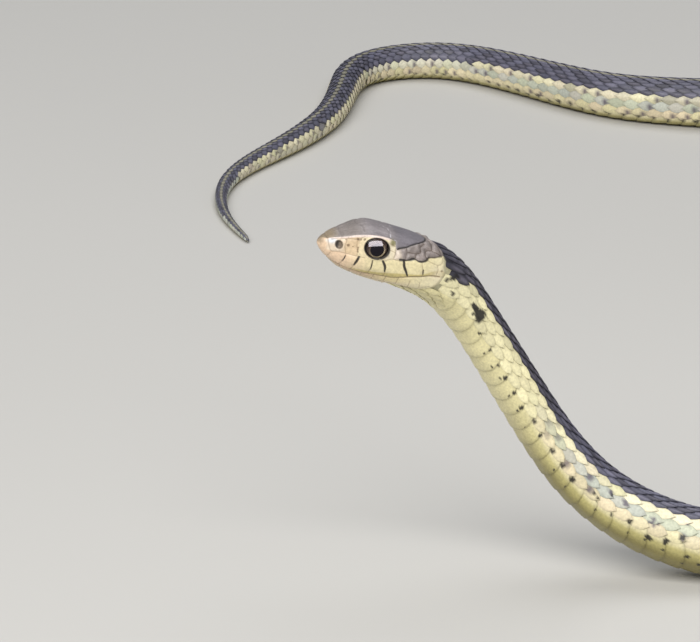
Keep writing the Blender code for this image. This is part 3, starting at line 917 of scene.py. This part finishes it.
def make_skin(snake, girth, marks, look):
    """One closed skin from the snout to the tail tip, carved into plates on the head."""
    turns = girth.turn(COLUMNS_AT, np.arange(HEAD_COLUMNS) / (HEAD_COLUMNS / 2))
    blocks = skin_rows(snake)
    points, tints, quads, triangles = [], [], [], []
    first, before = 0, None
    for level, rows in enumerate(blocks):
        turn = turns[:: 2**level]
        at, turn = np.meshgrid(rows, turn, indexing="ij")
        sink = SCALE_BED * thinned(girth, at) * covered(at, turn)
        spot = snake.surface(at, turn, -sink)
        if level == 0:
            spot, tint = carved_head(snake, at, turn, spot)
        else:
            tint = behind_head(at, turn, spot, marks) * 0.5
        spot[..., 2] = np.maximum(spot[..., 2], 0.05)
        grid = first + np.arange(at.size).reshape(at.shape)
        after = np.roll(grid, -1, axis=1)
        quads.append(np.stack([grid[:-1], after[:-1], after[1:], grid[1:]], -1).reshape(-1, 4))
        if before is not None:
            fine, coarse = before, grid[0]
            near_fine, far_fine = fine[1::2], np.roll(fine, -1)[1::2]
            next_coarse = np.roll(coarse, -1)
            triangles.append(np.stack([fine[::2], near_fine, coarse], -1))
            triangles.append(np.stack([near_fine, next_coarse, coarse], -1))
            triangles.append(np.stack([near_fine, far_fine, next_coarse], -1))
        before = grid[-1]
        first += at.size
        points.append(spot.reshape(-1, 3))
        tints.append(tint.reshape(-1, 3))
    nose = snake.surface(0.0, 0.0)
    tip = snake.surface(snake.length - 0.05, 0.0)
    points.append(np.stack([nose, tip]))
    tints.append(np.stack([tints[0][0], tints[-1][-1]]))
    ring = np.arange(HEAD_COLUMNS)
    triangles.append(np.stack([np.full(HEAD_COLUMNS, first), np.roll(ring, -1), ring], -1))
    around = len(before)
    triangles.append(np.stack([np.full(around, first + 1), before, np.roll(before, -1)], -1))
    shape = np.concatenate(points), np.concatenate(quads), np.concatenate(triangles)
    return mesh_of("skin", *shape, np.concatenate(tints), look)


def behind_head(at, turn, points, marks):
    """The colour of the skin under the scales, with the black marks where they are given."""
    down = down_of(turn)
    share = fade(down, 116, 120)
    tint = mix(side_tint(at, turn, points), belly_tint(at, turn, points), share)
    return mix(tint, BLACK, 0.9 * marks.on(points)) if marks else tint


def outward(points):
    """The skin's own normals, from its neighbours in the grid."""
    along = np.gradient(points, axis=0)
    wrapped = np.concatenate([points[:, -1:], points, points[:, :1]], 1)
    around = (wrapped[:, 2:] - wrapped[:, :-2]) / 2
    normal = np.cross(around, along)
    return normal / np.maximum(np.linalg.norm(normal, axis=-1), 1e-9)[..., None]


def carved_head(snake, at, turn, points):
    """Seams, mouth, nostrils and eye openings, made on the left half and mirrored."""
    half = HEAD_COLUMNS // 2 + 1
    left = snake.surface(at[:, :half], turn[:, :half])
    near = head_distances(snake, at[:, :half], left)
    both = {k: np.concatenate([v, v[:, -2:0:-1]], 1) for k, v in near.items()}
    down = down_of(turn)
    plain = 1 - covered(at, turn)
    seam = both["seam"]
    rise = plain * (0.035 * fade(seam, 0.0, 0.5) - SEAM_DEPTH * line_of(seam, SEAM_HALF))
    labial = through(LABIAL_TOP, at)
    temporal = fade(at, 10.6, 11) * within(down, through(CROWN_EDGE, at), labial, 2)
    rise += plain * temporal * (0.15 * fade(seam, 0.0, 0.5) + 0.05 * ripple(points, 0.75, 31))
    rise -= PARIETAL_DEPTH * line_of(both["parietal"], PARIETAL_HALF) * plain
    rise -= MOUTH_DEPTH * line_of(both["mouth"], MOUTH_HALF)
    under = fade(down, both["mouth_turn"], both["mouth_turn"] + 1) * (at > MOUTH_START)
    rise -= 0.08 * under * (1 - fade(down, both["mouth_turn"] + 8, both["mouth_turn"] + 22)) * plain
    rise -= NOSTRIL_DEPTH * (1 - fade(both["nostril"], 0.55, 1.0))
    rise += 0.05 * line_of(both["nostril"] - 1.25, 0.2)
    rise += 0.06 * line_of(both["eye"] - 1.10, 0.07)
    points = points + outward(points) * rise[..., None]
    for way, columns in ((1, slice(0, half)), (-1, slice(half, None))):
        centre, side = eye_centre(snake, way)
        part = {k: v[:, columns] for k, v in both.items()}
        inside = (part["eye_x"] / EYE_RADII[0]) ** 2 + (part["eye_z"] / EYE_RADII[2]) ** 2
        ball = EYE_RADII[1] * np.sqrt(np.clip(1 - inside, 0, 1)) - EYE_SINK
        out = (points[:, columns] - centre) @ side
        move = (ball - out) * (1 - fade(part["eye"], 0.93, 1.02))
        points[:, columns] += side * np.minimum(move, 0)[..., None]
    tint = head_tint(at, down, points, both)
    rest = behind_head(at, turn, points, None) * 0.5
    return points, mix(tint, rest, covered(at, turn))


def mesh_of(name, points, quads, triangles, tint, look, corners=None, sharp=None):
    """A mesh object from arrays. Points come in millimetres, and corners are its OFBake map."""
    mesh = bpy.data.meshes.new(name)
    mesh.vertices.add(len(points))
    mesh.vertices.foreach_set("co", (points * MM).astype(np.float32).ravel())
    loops = np.concatenate([quads.ravel(), triangles.ravel()]).astype(np.int32)
    sizes = np.concatenate([np.full(len(quads), 4), np.full(len(triangles), 3)])
    mesh.loops.add(len(loops))
    mesh.loops.foreach_set("vertex_index", loops)
    mesh.polygons.add(len(sizes))
    starts = np.concatenate([[0], np.cumsum(sizes)[:-1]]).astype(np.int32)
    mesh.polygons.foreach_set("loop_start", starts)
    mesh.update(calc_edges=True)
    mesh.validate()
    mesh.shade_smooth()
    if sharp:
        mesh.set_sharp_from_angle(angle=math.radians(sharp))
    layer = mesh.color_attributes.new("tint", "FLOAT_COLOR", "POINT")
    colour = np.concatenate([np.clip(tint, 0, 1), np.ones((len(tint), 1))], 1)
    layer.data.foreach_set("color", colour.astype(np.float32).ravel())
    if corners is not None:
        uv = mesh.uv_layers.new(name="OFBake")
        uv.data.foreach_set("uv", corners.astype(np.float32).ravel())
    mesh.materials.append(look)
    made = bpy.data.objects.new(name, mesh)
    bpy.context.scene.collection.objects.link(made)
    return made


STRIPS = 12
PATCH = 0.003
FULLEST = 190000


def unwrapped(snake, at, share):
    """A place on the skin's own unwrap: lengths of the body, one above the other."""
    strip_length = snake.length / STRIPS
    strip = np.clip(np.floor(at / strip_length), 0, STRIPS - 1)
    across = 0.02 + 0.95 * (at / strip_length - strip)
    return np.stack([across, (strip + 0.08 + 0.84 * np.mod(share, 2) / 2) / STRIPS], -1)


def plates(name, snake, girth, at, share, rise, thick, tint, patch, under_patch, look):
    """Closed thin plates over the skin. Arrays run over plates, then along and across each.
    Patch is where each point lies on the map, and under_patch the middle of its underside's."""
    count, rows, columns = at.shape
    grid = np.arange(rows * columns).reshape(rows, columns)
    rim = np.concatenate([grid[0, :-1], grid[:-1, -1], grid[-1, :0:-1], grid[:0:-1, 0]])
    below = rows * columns + np.arange(len(rim))
    after_rim, after_below = np.roll(rim, -1), np.roll(below, -1)
    middle = np.full(len(rim), rows * columns + len(rim))
    top = np.stack([grid[:-1, :-1], grid[:-1, 1:], grid[1:, 1:], grid[1:, :-1]], -1).reshape(-1, 4)
    walls = np.stack([rim, below, after_below, after_rim], -1)
    fan = np.stack([after_below, below, middle], -1)

    def flat(values):
        return values.reshape(count, rows * columns, *values.shape[3:])

    turn = girth.turn(at, share)
    upper = flat(snake.surface(at, turn, rise))
    lower = snake.surface(
        flat(at)[:, rim], flat(turn)[:, rim], flat(rise)[:, rim] - thick[:, None]
    )
    centre = lower.mean(1, keepdims=True)
    points = np.concatenate([upper, lower, centre], 1)
    points[..., 2] = np.maximum(points[..., 2], 0.02)
    shade = flat(tint)
    # Painted shade: the plates' walls and undersides are darkened to 0.35 of their colour.
    shade = np.concatenate([shade, shade[:, rim] * 0.35, shade[:, :1] * 0.35], 1)
    spot = flat(patch)
    around = spot.mean(1, keepdims=True)
    edge = around + (spot[:, rim] - around) * 1.15
    shrunk = under_patch[:, None] + (spot[:, rim] - around) * 0.3
    where = np.concatenate([spot, edge, under_patch[:, None]], 1)
    corners = [where[:, top.ravel()], where[:, walls.ravel()]]
    beneath = np.concatenate([where[:, : rows * columns], shrunk, under_patch[:, None]], 1)
    under = beneath[:, fan.ravel()]
    step = points.shape[1] * np.arange(count)[:, None, None]
    quads = np.concatenate([top, walls])[None] + step
    triangles = fan[None] + step
    return mesh_of(
        name,
        points.reshape(-1, 3),
        quads.reshape(-1, 4),
        triangles.reshape(-1, 3),
        shade.reshape(-1, 3),
        look,
        np.concatenate([np.concatenate(corners, 1).reshape(-1, 2), under.reshape(-1, 2)]),
        sharp=50,
    )


def stations(snake):
    """Where each crosswise row of scales starts, from under the chin to the tail tip."""
    edges = [VENTRALS_START]
    while edges[0] > LATTICE_START:
        edges.insert(0, edges[0] - through(PITCHES, edges[0]))
    while edges[-1] < snake.vent:
        edges.append(edges[-1] + through(PITCHES, edges[-1]))
    while edges[-1] < snake.length - TAIL_CAP:
        share = (edges[-1] - snake.vent) / TAIL_LENGTH
        edges.append(edges[-1] + through(TAIL_PITCHES, share))
    return np.array(edges)


def row_places(half):
    """How far down each row is on one side, and its width, as shares from back to belly."""
    width = np.ones(half + 1)
    low = min(len(LOW_ROWS), half - 1)
    width[half + 1 - low :] = LOW_ROWS[:low][::-1]
    inner = np.concatenate([[0.0], width[0] / 2 + np.concatenate([[0.0], np.cumsum(width[1:-1])])])
    centre = inner + np.where(np.arange(half + 1) > 0, width / 2, 0.0)
    total = centre[-1] + width[-1] / 2
    return centre / total * EDGE_SHARE, width / total * EDGE_SHARE


def lattice(snake, girth, edges):
    """Every scale's root, its share round the girth, width as a share, length and row."""
    found = []
    index = np.arange(len(edges) - 1, dtype=float)
    ends = [start for start, _ in ROWS[1:]] + [snake.length - TAIL_BARE]
    for (start, half), end in zip(ROWS, ends):
        places, widths = row_places(half)
        for k in range(half + 1):
            at = np.interp(index + 0.5 * (k % 2), np.arange(len(edges)), edges)
            at = at[(at >= start) & (at < end)]
            for side in (1, -1) if k else (1,):
                rows = np.full(len(at), k / half)
                spot = rows * 0 + side * places[k], rows * 0 + widths[k]
                found.append(np.stack([at, *spot, rows]))
    gap = (1 - EDGE_SHARE) / (GULAR_ROWS + 0.5)
    for k in range(GULAR_ROWS + 1):
        at = np.interp(index + 0.5 * ((k + 1) % 2), np.arange(len(edges)), edges)
        at = at[at < VENTRALS_START - 0.3 - 0.9 * (GULAR_ROWS - k) / GULAR_ROWS]
        share = EDGE_SHARE + (k + 0.5) * gap
        for side in (1, -1) if k < GULAR_ROWS else (1,):
            spot = at * 0 + side * share, at * 0 + gap
            found.append(np.stack([at, *spot, at * 0 + GULAR_ROW]))
    at, share, width, row = np.concatenate(found, 1)
    pitch = np.interp(at, edges[:-1], np.diff(edges))
    turn = girth.turn(at, share)
    kept = at + 0.2 * pitch > through(SCALES_START, down_of(turn))
    return at[kept], share[kept], width[kept], pitch[kept], row[kept]


def make_scales(snake, girth, marks, edges, look):
    """The back's and sides' scales, each a thin plate with a keel, over the next one's root."""
    at, share, width, pitch, row = lattice(snake, girth, edges)
    random = np.random.default_rng(9)
    order = np.argsort(at, kind="stable")
    at, share, width, pitch, row = (values[order] for values in (at, share, width, pitch, row))
    made = []
    near = at < FINE_SCALES_END
    for counts, chosen in ((FINE_SCALE, near), (COARSE_SCALE, ~near)):
        along, across = counts
        each = 2 * along * across + 6 * (along + across)
        index = np.flatnonzero(chosen)
        parts = max(1, math.ceil(len(index) / (FULLEST // each)))
        for some in np.array_split(index, parts):
            name = f"scales_{len(made) + 1}"
            fields = [values[some] for values in (at, share, width, pitch, row)]
            made.append(scale_batch(name, snake, girth, marks, fields, counts, random, look))
    return made


def scale_colours(snake, girth, at, share, length, random):
    """One colour for each scale, from the place of its middle."""
    middle = at + 0.55 * length
    turn = girth.turn(middle, share)
    centre = snake.surface(middle, turn)
    base = side_tint(middle, turn, centre)
    under = down_of(turn) > UNDER_TURN
    base = np.where(under[:, None], belly_tint(middle, turn, centre), base)
    base = base * random.normal(1, 0.07, len(at)).clip(0.8, 1.2)[:, None]
    hue = random.uniform(-1, 1, len(at)) * fade(base.mean(1), 0.2, 0.35)
    behind = fade(at, *NECK_ENDS)
    base = mix(base, PINKISH, 0.24 * np.clip(hue - 0.2, 0, 1) * behind)
    return mix(base, GREENISH, 0.34 * np.clip(-hue - 0.2, 0, 1) * behind)


def scale_batch(name, snake, girth, marks, fields, counts, random, look):
    """Scales of one mesh: pointed and keeled on the back, and rounder low on the sides."""
    at, share, width, pitch, row = fields
    rows, columns = counts
    a = np.linspace(0, 1, rows)[None, :, None]
    b = np.linspace(-1, 1, columns + 1 - columns % 2)[None, None, :]
    neck = 1 - fade(at, *NECK_ENDS)
    on_side = row < GULAR_ROW - 0.1
    broad = np.clip(np.maximum(fade(row, 0.72, 1.0), 0.75 * neck * fade(row, 0.3, 0.8)), 0, 1)
    length = pitch * (1.46 - 0.10 * broad) * random.uniform(0.97, 1.03, len(at))
    half = width * 0.5 * (1.50 - 0.22 * broad) * random.uniform(0.97, 1.03, len(at))
    front = 0.66 + 0.34 * np.sin(np.clip(a / SCALE_WIDEST, 0, 1) * math.pi / 2)
    rear = np.clip((a - SCALE_WIDEST) / (1 - SCALE_WIDEST), 0, 1)
    pointed, rounded = 1 - 0.93 * rear**1.9, (1 - 0.985 * rear**2.8) ** 0.62
    outline = front * (pointed * (1 - per_plate(broad)) + rounded * per_plate(broad))
    along = per_plate(at) + per_plate(length) * (a - 0.05 * b * b * rear)
    along = np.minimum(along, snake.length - 0.4)
    around = per_plate(share) + per_plate(half) * outline * b
    gular = per_plate(fade(row, 1.05, 1.15))
    lift = -0.33 + (0.36 - 0.07 * gular) * a**0.85 + 0.05 * (1 - b * b) * np.sin(a * math.pi)
    keeled = per_plate((1 - fade(row, 0.62, 0.98)) * (1 - 0.6 * neck) * on_side)
    ridge = line_of(b, 0.15) * fade(a, 0.10, 0.32) * (1 - fade(a, 0.93, 1.0))
    knobby = per_plate(neck * (1 - fade(row, 0.58, 0.68)))
    knobs = (0.5 - 0.5 * np.cos(4 * math.pi * a)) * fade(a, 0.2, 0.35) * line_of(b, 0.6)
    lift = lift + 0.085 * keeled * ridge - 0.03 * b**4 + 0.07 * knobby * knobs
    rise = lift * thinned(girth, along)
    base = scale_colours(snake, girth, at, share, length, random)
    pale = fade(base.mean(1), 0.14, 0.34)
    tint = np.repeat(np.repeat(base[:, None, None, :], rows, 1), b.shape[2], 2)
    side_edge, tip_edge = fade(np.abs(b), 0.55, 1.0), fade(a, 0.80, 1.0)
    edge = np.maximum(side_edge * (1 - 0.5 * (1 - rear)), tip_edge)
    tint = tint * (1 - per_plate(0.22 * pale + 0.60 * (1 - pale)) * edge)[..., None]
    bright = per_plate((1 - pale) * random.uniform(0.1, 0.75, len(at)) * (1 + 0.7 * neck))
    bright = bright * line_of(b, 0.5) * within(a, 0.35, 0.85, 0.15)
    tint = mix(tint, SCALE_LIGHT, 0.55 * bright * (1 - knobby))
    tint = mix(tint, SCALE_LIGHT, knobby * knobs * per_plate(random.uniform(0.1, 0.65, len(at))))
    # Painted highlight: lighter along the keels' ridges.
    tint = mix(tint, tint * 1.5, keeled * ridge * 0.22)
    seen = (at > SEEN_MARKS_SPAN[0]) & (at < SEEN_MARKS_SPAN[1]) & (share > 0)
    flecked = (random.uniform(size=len(at)) < FLECKED) * pale * (row > 0.45) * on_side * ~seen
    flecked = per_plate(flecked * fade(at, 40, 60))
    fleck = within(a, 0.22, 0.52, 0.08) * (1 - fade(np.abs(b + 0.2), 0.35, 0.75)) * flecked
    tint = mix(tint, FLECK, 0.85 * fleck)
    points = snake.surface(along, girth.turn(along, around), rise)
    tint = mix(tint, FLECK, 0.85 * marks.fleck(points))
    tint = mix(tint, BLACK, 0.97 * marks.on(points))
    root = unwrapped(snake, at, share)[:, None, None, :]
    local = np.stack(np.broadcast_arrays((a - 0.5) * PATCH * 0.85, b * PATCH * 0.42), -1)
    under_patch = root[:, 0, 0] + np.array([PATCH * 1.2, 0.0])
    thick = SCALE_THICK * thinned(girth, at)
    fields = along, around, rise, thick, tint, root + local, under_patch
    return plates(name, snake, girth, *fields, look)


def make_ventrals(snake, girth, marks, edges, look):
    """The belly's broad scutes, one to a row of scales, then the pairs under the tail."""
    starts, pitch = edges[:-1], np.diff(edges)
    fine, belly = starts < FINE_SCALES_END, starts < snake.vent
    under_tail = ~belly & (starts < snake.length - TAIL_SCUTES_BARE)
    belly &= starts > VENTRALS_START - 0.5
    batches = (
        ("belly_scutes_front", belly & fine, False, FINE_SCUTE),
        ("belly_scutes_rear", belly & ~fine, False, COARSE_SCUTE),
        ("tail_scutes", under_tail, True, TAIL_SCUTE),
    )
    return [
        scute_batch(name, snake, girth, marks, starts[some], pitch[some], paired, counts, look)
        for name, some, paired, counts in batches
    ]


def scute_batch(name, snake, girth, marks, starts, pitch, paired, counts, look):
    """Scutes right across the belly, or in pairs that meet along its middle."""
    rows, columns = counts
    a = np.linspace(0, 1, rows)[None, :, None]
    side = np.linspace(-1, 1, columns)[None, None, :]
    reach = 1 - EDGE_SHARE + 0.025
    share = 1 + reach * side
    if paired:
        right = 0.5 + 0.5 * side + 0 * per_plate(starts)
        left = right[..., ::-1]
        side = np.concatenate([left, right])
        share = np.concatenate([1 - reach * left, 1 + reach * right])
        starts = np.concatenate([starts, starts + 0.15 * pitch])
        pitch = np.concatenate([pitch, pitch])
    sweep = np.abs(side) ** 2.4 * fade(per_plate(pitch), 0.4, 2.2)
    at = per_plate(starts) + per_plate(pitch) * (1.16 * a - 0.02) - sweep
    share = share + 0 * at
    rise = -0.30 + 0.27 * a**0.8 - 0.10 * np.abs(side) ** 10 - 0.04 * a**12
    rise = rise * thinned(girth, at)
    turn = girth.turn(at, share)
    points = snake.surface(at, turn, rise)
    tint = belly_tint(at, turn, points)
    tint = tint * (1 - 0.24 * fade(a, 0.86, 1.0) - 0.06 * fade(np.abs(side), 0.9, 1))[..., None]
    tint = mix(tint, BLACK, 0.95 * marks.on(points))
    patch_at = per_plate(starts) + per_plate(pitch) * (0.05 + 0.78 * a) + 0 * share
    patch = unwrapped(snake, patch_at, share)
    under_patch = unwrapped(snake, starts + 0.93 * pitch, share[:, 0].mean(-1))
    thick = SCUTE_THICK * thinned(girth, starts)
    return plates(name, snake, girth, at, share, rise, thick, tint, patch, under_patch, look)


def make_eye(snake, name, way, look):
    """A low dome in the opening of the skin: a dark pupil, a pale ring and a brown iris."""
    centre, side = eye_centre(snake, way)
    ahead, back = snake.axes(EYE_PLACE[0])
    q = np.linspace(0, 1, EYE_RINGS + 1)[1:, None]
    angle = np.linspace(0, math.tau, EYE_SPOKES, endpoint=False)[None, :]
    x = EYE_RADII[0] * q * np.cos(angle)
    z = EYE_RADII[2] * q * np.sin(angle)
    y = EYE_RADII[1] * np.sqrt(1 - q * q) + 0 * angle

    def place(x, y, z):
        return centre + x[..., None] * ahead + y[..., None] * side + z[..., None] * back

    front = place(x, y, z)
    behind = place(x[-1:] * 0.9, y[-1:] - 0.5, z[-1:] * 0.9)
    poles = place(np.zeros(2), np.array([EYE_RADII[1], -0.5]), np.zeros(2))
    points = np.concatenate([front.reshape(-1, 3), behind.reshape(-1, 3), poles])
    pupil = np.hypot(x, z + PUPIL_DROP)
    streak = 1 + 0.25 * np.sin(23 * angle + 3 * np.sin(5 * angle)) * fade(pupil, 1.05, 1.3)
    bright = 0.5 + 0.5 * np.cos(angle + 0.9)
    iris = mix(IRIS_DARK, IRIS_RING, 0.06 + 0.94 * bright**2.5)
    tint = mix(PUPIL, iris, fade(pupil, 1.02, 1.08))
    tint = mix(tint, IRIS, fade(pupil, 1.16, 1.36)) * streak[..., None]
    tint = mix(tint, BLACK, fade(np.hypot(x, z), 1.42, 1.66))
    hidden = np.tile(BLACK, (EYE_SPOKES, 1))
    colours = np.concatenate([tint.reshape(-1, 3), hidden, [PUPIL], [BLACK]])
    grid = np.arange((EYE_RINGS + 1) * EYE_SPOKES).reshape(EYE_RINGS + 1, EYE_SPOKES)
    after = np.roll(grid, -1, axis=1)
    quads = np.stack([grid[:-1], after[:-1], after[1:], grid[1:]], -1).reshape(-1, 4)
    top, bottom = (np.full(EYE_SPOKES, len(points) - k) for k in (2, 1))
    triangles = np.stack([np.roll(grid[0], -1), grid[0], top], -1)
    closing = np.stack([grid[-1], np.roll(grid[-1], -1), bottom], -1)
    triangles = np.concatenate([triangles, closing])
    if np.dot(np.cross(ahead, back), side) > 0:
        quads, triangles = quads[:, ::-1], triangles[:, ::-1]
    return mesh_of(name, points, quads, triangles, colours, look)


def new_look(name):
    """A finish, and the shader in it."""
    look = bpy.data.materials.new(name)
    look.use_nodes = True
    return look, look.node_tree.nodes["Principled BSDF"]


def put(node, values):
    for name, value in values.items():
        node.inputs[name].default_value = value


def add(look, kind, values=None):
    node = look.node_tree.nodes.new("ShaderNode" + kind)
    put(node, values or {})
    return node


def join(look, *steps):
    """Links a chain of nodes. Each step is a node, its output, the next node and its input."""
    for source, output, target, socket in steps:
        look.node_tree.links.new(source.outputs[output], target.inputs[socket])


def marked(look, shader, speckles, strengths):
    """Colours a finish by its mesh's markings, mottled by fine speckles of the given strengths."""
    marking = add(look, "Attribute")
    marking.attribute_name = "tint"
    place = add(look, "TexCoord")
    speckle, strength = add(look, "TexNoise", speckles), add(look, "MapRange", strengths)
    shaded = add(look, "VectorMath")
    shaded.operation = "SCALE"
    join(
        look,
        (place, "Object", speckle, "Vector"),
        (speckle, "Fac", strength, "Value"),
        (marking, "Color", shaded, 0),
        (strength, "Result", shaded, "Scale"),
        (shaded, "Vector", shader, "Base Color"),
    )
    return place


def scaly_look(name, roughness, grain, grain_size, coat):
    """A satin finish, worn unevenly and finely grained along the body."""
    look, shader = new_look(name)
    strengths = {"From Min": 0.3, "From Max": 0.7, "To Min": 0.86, "To Max": 1.12}
    place = marked(look, shader, {"Scale": 2600, "Detail": 4}, strengths)
    wear = add(look, "TexNoise", {"Scale": 900})
    gloss = add(look, "MapRange", {"To Min": roughness - 0.08, "To Max": roughness + 0.10})
    stretched = add(look, "Mapping", {"Scale": (0.35, 1.0, 1.0)})
    grains = add(look, "TexNoise", {"Scale": grain_size, "Detail": 3})
    bump = add(look, "Bump", {"Strength": grain, "Distance": 0.00003})
    join(
        look,
        (place, "Object", wear, "Vector"),
        (wear, "Fac", gloss, "Value"),
        (gloss, "Result", shader, "Roughness"),
        (place, "Object", stretched, "Vector"),
        (stretched, "Vector", grains, "Vector"),
        (grains, "Fac", bump, "Height"),
        (bump, "Normal", shader, "Normal"),
    )
    put(shader, {"Coat Weight": coat, "Coat Roughness": 0.35})
    return look


def eye_look():
    """A wet eye: its own colours under a clear thin coat."""
    look, shader = new_look("eye_look")
    marked(look, shader, {"Scale": 5200}, {"To Min": 0.75, "To Max": 1.25})
    put(shader, {"Roughness": 0.12, "Specular IOR Level": 0.0})
    put(shader, {"Coat Weight": 0.5, "Coat Roughness": 0.015, "Coat IOR": 1.45})
    return look


def floor_look():
    """A pale matt floor."""
    look, shader = new_look("floor_look")
    place, cloud = add(look, "TexCoord"), add(look, "TexNoise", {"Scale": 3})
    tone = add(look, "ValToRGB")
    for stop, colour in zip(tone.color_ramp.elements, FLOOR_TONES):
        stop.color = colour
    join(
        look,
        (place, "Object", cloud, "Vector"),
        (cloud, "Fac", tone, "Fac"),
        (tone, "Color", shader, "Base Color"),
    )
    put(shader, {"Roughness": 0.9})
    return look


# The stage, in metres. A light is its place, size, power, colour and what it faces.
VIEW_TARGET = Vector((-0.04993, -0.14304, 0.0446))
VIEW_DISTANCE = 0.7
VIEW_HEIGHT = math.radians(19)
LENS, SENSOR, NEAREST = 240, 36, 0.01
EYE_AIM = (-0.047, -0.147, 0.057)
HEAD_AIM = (-0.045, -0.145, 0.05)
WINDOW = ((0.20, -1.05, 0.42), (1.60, 0.80), 135.0, (1.0, 0.93, 1.0), EYE_AIM)
LIGHTS = {
    "key": ((-0.20, -0.80, 0.80), (1.30, 0.60), 14.5, (1.0, 0.985, 0.965), HEAD_AIM),
    "top": ((0.10, 0.25, 0.95), (0.90, 0.70), 4.0, (0.97, 0.98, 1.0), (0, 0, 0)),
    "fill": ((0.70, -0.80, 0.35), (0.60, 0.60), 0.6, (1.0, 0.97, 0.93), HEAD_AIM),
}
SKY, SKY_STRENGTH = (0.90, 0.94, 1.0, 1), 0.22
FLOOR_REACH = 3.0
FLOOR_TONES = ((0.50, 0.49, 0.465, 1), (0.55, 0.54, 0.515, 1))


def make_camera():
    """The photo's view: level with the horizon, looking along the way the tail lies, and down."""
    lens = bpy.data.cameras.new("camera")
    lens.lens = LENS
    lens.sensor_width = SENSOR
    lens.clip_start = NEAREST
    camera = bpy.data.objects.new("camera", lens)
    back = Vector((0, -math.cos(VIEW_HEIGHT), math.sin(VIEW_HEIGHT)))
    camera.location = VIEW_TARGET + back * VIEW_DISTANCE
    camera.rotation_euler = (-back).to_track_quat("-Z", "Y").to_euler()
    bpy.context.scene.collection.objects.link(camera)
    bpy.context.scene.camera = camera


def soft_light(name, place, size, power, colour, aim):
    lamp = bpy.data.lights.new(name, "AREA")
    lamp.shape = "RECTANGLE"
    lamp.size, lamp.size_y = size
    lamp.energy = power
    lamp.color = colour
    made = bpy.data.objects.new(name, lamp)
    made.location = place
    made.rotation_euler = (Vector(aim) - Vector(place)).to_track_quat("-Z", "Y").to_euler()
    bpy.context.scene.collection.objects.link(made)
    return made


def eye_light(*eyes):
    """A broad soft window in front of the head. It only makes the bright patch in the eyes."""
    window = soft_light("window", *WINDOW)
    lit = bpy.data.collections.new("eyes")
    for eye in eyes:
        lit.objects.link(eye)
    window.light_linking.receiver_collection = lit
    window.visible_diffuse = False


def make_stage():
    """The floor, the sky's even light and the soft lights."""
    mesh = bpy.data.meshes.new("floor")
    signs = ((-1, -1), (1, -1), (1, 1), (-1, 1))
    corners = [(FLOOR_REACH * x, FLOOR_REACH * y, 0) for x, y in signs]
    mesh.from_pydata(corners, [], [(0, 1, 2, 3)])
    mesh.materials.append(floor_look())
    floor = bpy.data.objects.new("floor", mesh)
    bpy.context.scene.collection.objects.link(floor)
    world = bpy.data.worlds.new("studio")
    world.use_nodes = True
    put(world.node_tree.nodes["Background"], {"Color": SKY, "Strength": SKY_STRENGTH})
    bpy.context.scene.world = world
    bpy.context.scene.view_settings.view_transform = "Standard"
    for name, light in LIGHTS.items():
        soft_light(name, *light)


def dress(piece, slot, *nodes):
    """Puts a piece on the model in the place of the solids' named nodes."""
    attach(piece, "root")
    if nodes:
        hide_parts(*nodes)


def build():
    snake = Snake()
    girth = Girth(snake)
    edges = stations(snake)
    marks = Marks(snake, edges)
    skin_look = scaly_look("skin_look", 0.42, 0.35, 5200, 0.15)
    scale_look = scaly_look("scale_look", 0.46, 0.45, 4200, 0.08)
    scute_look = scaly_look("scute_look", 0.40, 0.20, 3800, 0.12)
    flesh = [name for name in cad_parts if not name.startswith("eye")]
    dress(make_skin(snake, girth, marks, skin_look), "skin_dark", *sorted(flesh))
    for piece in make_scales(snake, girth, marks, edges, scale_look):
        dress(piece, "skin_dark")
    for piece in make_ventrals(snake, girth, marks, edges, scute_look):
        dress(piece, "skin_pale")
    glossy = eye_look()
    left, right = (make_eye(snake, f"{side}_eye", way, glossy) for side, way in EYES)
    dress(left, "eye", "eye_left")
    dress(right, "eye", "eye_right")
    eye_light(left, right)
    make_stage()
    make_camera()


build()
